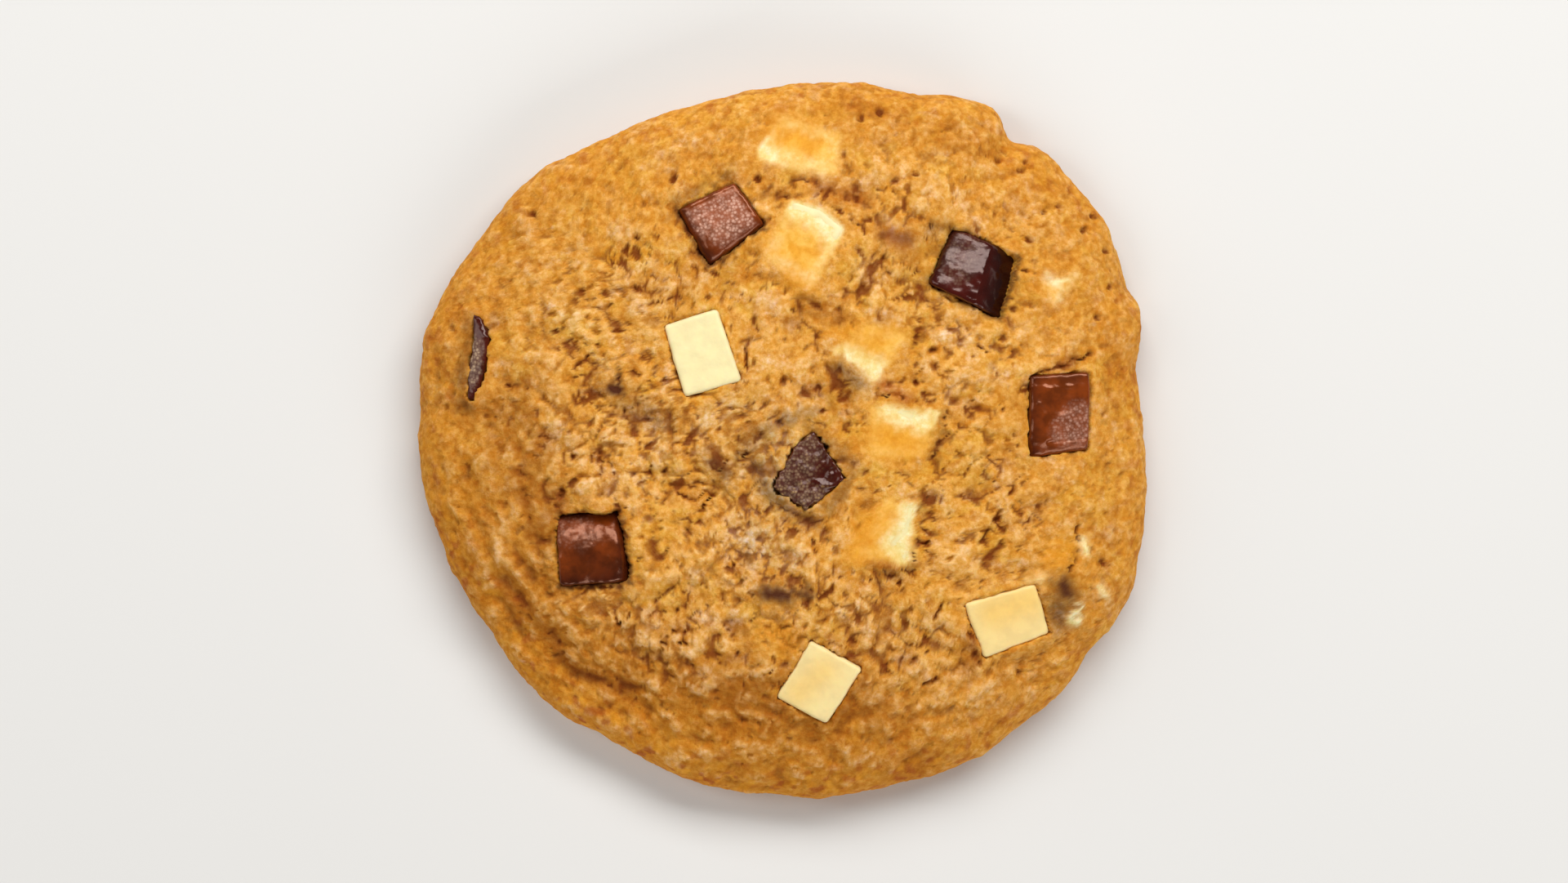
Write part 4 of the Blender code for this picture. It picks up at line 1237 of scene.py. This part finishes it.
    def lay_skin(self) -> Skin:
        """Lay out the smooth shape as a grid, with its crags, crumb, cracks and folds.

        Returns:
            The skin without strokes, beds or browning.
        """
        radius, bearing = self.skin_grid()
        line = np.linspace(0.0, 1.0, self.form.profile_steps)
        share, height, out, up = (np.interp(radius, line, part) for part in self.form.profile())
        reach = share * self.form.reach(bearing)
        x = reach * np.cos(bearing)
        y = reach * np.sin(bearing)
        skin = Skin(bearing, share, height, out, up, x, y)
        skin.coarse = self.crags(x, y, share)
        fine, depth = (part.reshape(x.shape)
                       for part in self.crumb(skin.places, self.torn(share).ravel()))
        depth = 0.75 * depth + 0.25 * softened(depth, 1)
        skin.cracked = self.opened(x, y) * skin.top
        skin.depth = np.maximum(depth, skin.cracked)
        fine -= MM * (0.60 * skin.depth + 0.20 * skin.cracked)
        fine += self.fold_height * self.folds(x, y, share)
        skin.fine = fine * (1.0 - 0.45 * smooth_step(0.3, 0.9, out))
        return skin

    def draw_strokes(self, skin: Skin) -> None:
        """Lay the tints down along their strokes, with ragged edges, and raise the pale crumbs.

        Args:
            skin: The skin to draw on.
        """
        shift = 0.8 * MM * skin.ragged
        for name, strokes in TINT_STROKES.items():
            for stroke in strokes:
                skin.deepen(name, stroke.spread(skin.x + shift, skin.y - shift))
        skin.fine = skin.fine + self.crumb_rise * skin.tints["cream"]

    def seat(self, skin: Skin, setting: Setting) -> None:
        """Draw the dough up to one chunk, with a bed for it or a baked film over it.

        Args:
            skin: The skin to shape.
            setting: How the chunk lies.
        """
        ragged = skin.ragged
        away = setting.signed_distance(skin.x, skin.y) / MM + setting.ragged_mm * ragged
        bare = setting.bare_distance(skin.x, skin.y) / MM + setting.ragged_mm * ragged
        carved = np.clip(setting.carved(skin.x, skin.y), -0.1 * MM, self.seam_drop)
        level = setting.shoulder(skin.x, skin.y) + MM * setting.seat_mm - carved
        reach_mm = self.film_reach_mm if setting.bare_mm else self.bank_reach_mm
        near = np.exp(-(np.maximum(away, 0.0) / reach_mm) ** 2) * skin.top
        if setting.bare_mm:
            over = self.chunk_rounding_mm - setting.seat_mm
            over = over + self.film_mm * smooth_step(0.0, 0.8, bare)
            level = level + MM * over * (1.0 - smooth_step(-0.1, 3.5, away))
            inside = 0.08 * (1.0 - smooth_step(-0.7, 0.15, bare))
            self.tint_film(skin, setting, away, bare)
            lying = 1.0 - smooth_step(-0.1, 1.0, away)
            pressed = np.maximum(0.35 * skin.fine, -0.02 * MM)
            skin.fine = skin.fine * (1.0 - lying) + pressed * lying
            skin.depth = skin.depth * (1.0 - 0.8 * lying)
        else:
            inside = 1.0 - smooth_step(-setting.lap_mm, 0.24 - setting.lap_mm, bare)
        for cx, cy, wide, tall in setting.covers:
            lobe = np.hypot((skin.x / MM - cx) / wide, (skin.y / MM - cy) / tall) + 0.2 * ragged
            lobe = 1.0 - smooth_step(0.75, 1.1, lobe)
            level = level + MM * (self.chunk_rounding_mm + 0.15) * lobe
            inside = inside * (1.0 - lobe)
        skin.coarse = skin.coarse * (1.0 - near) + (level - skin.height) * near
        skin.seated = np.maximum(skin.seated, near)
        skin.bed = np.maximum(skin.bed, inside * skin.top)

    def tint_film(self, skin: Skin, setting: Setting, away: Array, bare: Array) -> None:
        """Colour the film over a chunk: gold or cocoa, and cream where white shows through.

        Args:
            skin: The skin to tint.
            setting: The chunk under the film.
            away: Distance to the chunk's outline in millimetres, negative inside it.
            bare: Distance to what shows of the chunk in millimetres, negative inside it.
        """
        fade = 1.0 - smooth_step(-0.9, 0.45, away)
        if setting.kind is not Kind.WHITE:
            skin.deepen("cocoa_and_shadow", setting.film * fade)
            return
        skin.deepen("gold", setting.film * fade)
        pale = (1.0 - smooth_step(-0.2, setting.cream_mm, bare + 0.6 * skin.ragged)) ** 1.5
        pale = pale * (1.0 - smooth_step(-0.4, 0.3, away))
        pale = 0.95 * pale * np.clip(0.92 + 0.5 * skin.ragged, 0.5, 1.0)
        border = setting.pale_edge * np.clip(1.0 + 1.6 * skin.ragged, 0.2, 1.6)
        border = border * np.exp(-((away + 0.8) / 0.7) ** 2)
        skin.deepen("cream", np.maximum(pale, border))
        streak = bumps(0.8 * skin.x + 0.6 * skin.y, 0.5 * skin.y - 0.6 * skin.x, 1.4 * MM, 53.0)
        streak = setting.film * fade * smooth_step(-0.05, 0.35, streak)
        skin.deepen("honey", 0.90 * streak * (1.0 - smooth_step(-1.6, -0.5, away)))

    def raise_mesh(self, skin: Skin, relief: Array) -> bpy.types.Object:
        """Make the closed mesh, with the relief and the chunks' beds along its normals.

        Args:
            skin: The finished skin.
            relief: What to add along its normals, in metres.

        Returns:
            The new object.
        """
        edge = smooth_step(0.0, self.form.widest_height, skin.height)
        lift = relief * edge - skin.bed * self.bed_depth
        x = skin.x - FORM_MIDDLE[0] + lift * skin.out * np.cos(skin.bearing)
        y = skin.y - FORM_MIDDLE[1] + lift * skin.out * np.sin(skin.bearing)
        z = skin.height + lift * skin.up
        z = z - self.crown_press * np.maximum(z - self.crown, 0.0)
        deselect()
        bpy.ops.mesh.primitive_grid_add(x_subdivisions=self.steps, y_subdivisions=self.steps,
                                        size=2.0)
        obj = bpy.context.object
        obj.name = "dough_skin"
        write_places(obj.data, np.stack([x.ravel(), y.ravel(), z.ravel()], axis=1))
        self.close_base(obj)
        return obj

    def brown(self, skin: Skin, relief: Array) -> None:
        """Bake the skin: darker in its hollows and on its rim, paler on its crumbs.

        Args:
            skin: The skin to tint.
            relief: Its relief in metres, from which hollows and crumbs are read.
        """
        tints = skin.tints
        # Painted shade: darker brown where the relief lies below its neighbours, and in pits, seams and
        # cracks.
        local = relief - softened(relief, 4)
        dale = relief - softened(relief, 11)
        hollow_shade = 0.38 * (1.0 - smooth_step(-0.42 * MM, -0.04 * MM, local))
        hollow_shade += 0.22 * (1.0 - smooth_step(-0.64 * MM, 0.04 * MM, dale))
        hollow_shade += 0.44 * smooth_step(0.25, 0.95, skin.depth) + 0.25 * skin.cracked
        tints["hollow_shade"] = np.clip(tints["hollow_shade"] + hollow_shade, 0.0, 0.95)
        # Painted highlight: paler where the relief stands above its neighbours, away from the chunks.
        tints["tip_highlight"] = 0.50 * smooth_step(0.02 * MM, 0.30 * MM, local) * (1.0 - skin.seated)
        # The floury tint keeps to raised crumbs, so the valleys between them stay darker: painted shade.
        raised = smooth_step(-0.05 * MM, 0.12 * MM, local)
        tints["ash"] = tints["ash"] * (0.22 + 0.78 * raised)
        # Painted shade: how far round towards the lower left a place lies, the side turned from the
        # light. The rim is orange all round and darker there.
        shaded = -0.5 * np.cos(skin.bearing) - 0.87 * np.sin(skin.bearing)
        shaded = np.clip(shaded, 0.0, 1.0) ** 1.5
        tints["rim"] = smooth_step(0.60, 0.97, skin.share) * (0.42 + 0.58 * shaded)
        places = skin.places
        uneven = solid_noise(places, 2.4 * MM, 57.0) + 0.6 * solid_noise(places, 1.0 * MM, 58.0)
        uneven = np.clip(0.85 + 1.1 * uneven.reshape(relief.shape), 0.15, 1.0)
        tints["browned_and_shade"] = tints["browned_and_shade"] * uneven
        skin.deepen("browned_and_shade", 0.85 * (1.0 - smooth_step(-0.6, 0.1, skin.up)))
        fleck = smooth_step(0.14, 0.34, solid_noise(places, 0.95 * MM, 59.0))
        fleck = 0.50 * fleck.reshape(relief.shape) * smooth_step(0.60, 0.85, skin.share)
        fleck = fleck * (1.0 - skin.seated)
        # Painted shade: more brown on the lower-left part of the rim.
        fleck += 0.32 * shaded * smooth_step(0.45, 0.80, skin.share)
        tints["browned_and_shade"] = np.clip(tints["browned_and_shade"] + fleck, 0.0, 1.0)
        for name, seed, most in (("rust", 55.0, 0.80), ("honey", 56.0, 0.60)):
            specks = solid_noise(places, 1.2 * MM, seed).reshape(relief.shape)
            specks = smooth_step(0.22, 0.40, specks) * smooth_step(0.84, 0.98, skin.share)
            skin.deepen(name, most * (0.55 + 0.45 * shaded) * (specks * skin.top))

    def close_base(self, obj: bpy.types.Object) -> None:
        """Fill the open edge with one flat face for the cookie to rest on."""
        pick(obj)
        bpy.ops.object.mode_set(mode="EDIT")
        bpy.ops.mesh.select_mode(type="EDGE")
        bpy.ops.mesh.select_all(action="DESELECT")
        bpy.ops.mesh.select_non_manifold(extend=False)
        bpy.ops.mesh.edge_face_add()
        bpy.ops.mesh.select_all(action="SELECT")
        bpy.ops.mesh.normals_make_consistent(inside=False)
        bpy.ops.object.mode_set(mode="OBJECT")

    def dress(self, obj: bpy.types.Object) -> None:
        """Give the dough its crust and tie it to the cookie."""
        obj.data.materials.clear()
        obj.data.materials.append(BakedDough().material())
        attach(obj, "root")
        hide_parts("dough")


@dataclass(frozen=True)
class Softbox:
    """A rectangular area lamp that faces the cookie."""

    name: str
    place: tuple[float, float, float]
    width: float
    depth: float
    power: float

    def hang(self) -> None:
        """Add the lamp to the scene."""
        light = bpy.data.lights.new(self.name, "AREA")
        light.shape = "RECTANGLE"
        light.size = self.width
        light.size_y = self.depth
        light.energy = self.power
        obj = bpy.data.objects.new(self.name, light)
        bpy.context.scene.collection.objects.link(obj)
        obj.location = self.place
        obj.rotation_euler = (-Vector(self.place)).to_track_quat("-Z", "Y").to_euler()


@dataclass
class Studio:
    """A plain pale table top, soft light from beyond the upper edge, and the camera above."""

    floor_size: float = 3.0
    camera_height: float = 1.2
    view_width: float = 192.0 * MM
    sensor_mm: float = 36.0
    centre_mm: tuple[float, float] = (-0.05, -0.1)
    sky: float = 0.13
    softboxes: tuple[Softbox, ...] = (
        Softbox("key_softbox", (0.14, 0.47, 0.52), 0.95, 0.26, 5.5),
        Softbox("left_softbox", (-0.54, 0.16, 0.44), 0.30, 0.60, 1.35),
        Softbox("front_softbox", (0.25, -0.60, 0.34), 0.90, 0.26, 2.55),
    )

    def build(self) -> None:
        """Set the floor, the lights, the world and the camera."""
        deselect()
        bpy.ops.mesh.primitive_plane_add(size=self.floor_size)
        floor = bpy.context.object
        floor.name = "table_top"
        material = bpy.data.materials.new("pale_matt_laminate")
        material.use_nodes = True
        shader = material.node_tree.nodes["Principled BSDF"]
        shader.inputs["Base Color"].default_value = linear("E9E7E3")
        shader.inputs["Roughness"].default_value = 0.9
        floor.data.materials.append(material)
        for softbox in self.softboxes:
            softbox.hang()
        world = bpy.data.worlds.new("soft_room")
        bpy.context.scene.world = world
        world.use_nodes = True
        sky = world.node_tree.nodes["Background"]
        sky.inputs["Color"].default_value = (1.0, 1.0, 1.0, 1.0)
        sky.inputs["Strength"].default_value = self.sky
        lens = bpy.data.cameras.new("top_camera")
        lens.sensor_width = self.sensor_mm
        lens.lens = self.sensor_mm * self.camera_height / self.view_width
        camera = bpy.data.objects.new("top_camera", lens)
        bpy.context.scene.collection.objects.link(camera)
        camera.location = (self.centre_mm[0] * MM, self.centre_mm[1] * MM, self.camera_height)
        bpy.context.scene.camera = camera
        bpy.context.scene.view_settings.view_transform = "Standard"


FORM_MIDDLE = Form().middle()


def main() -> None:
    """Build the cookie's looks round the frame."""
    logging.basicConfig(level=logging.INFO, format="%(name)s: %(message)s")
    Studio().build()
    dough = Dough()
    skin = dough.build()
    dough.dress(skin)
    LOG.info("dough skin: %d vertices", len(skin.data.vertices))
    materials = {kind: finish.material() for kind, finish in FINISHES.items()}
    for setting in SETTINGS:
        chunk = Chunk(setting)
        piece = chunk.build()
        chunk.dress(piece, materials)
        LOG.info("%s: %d vertices", piece.name, len(piece.data.vertices))


if __name__ == "__main__":
    main()
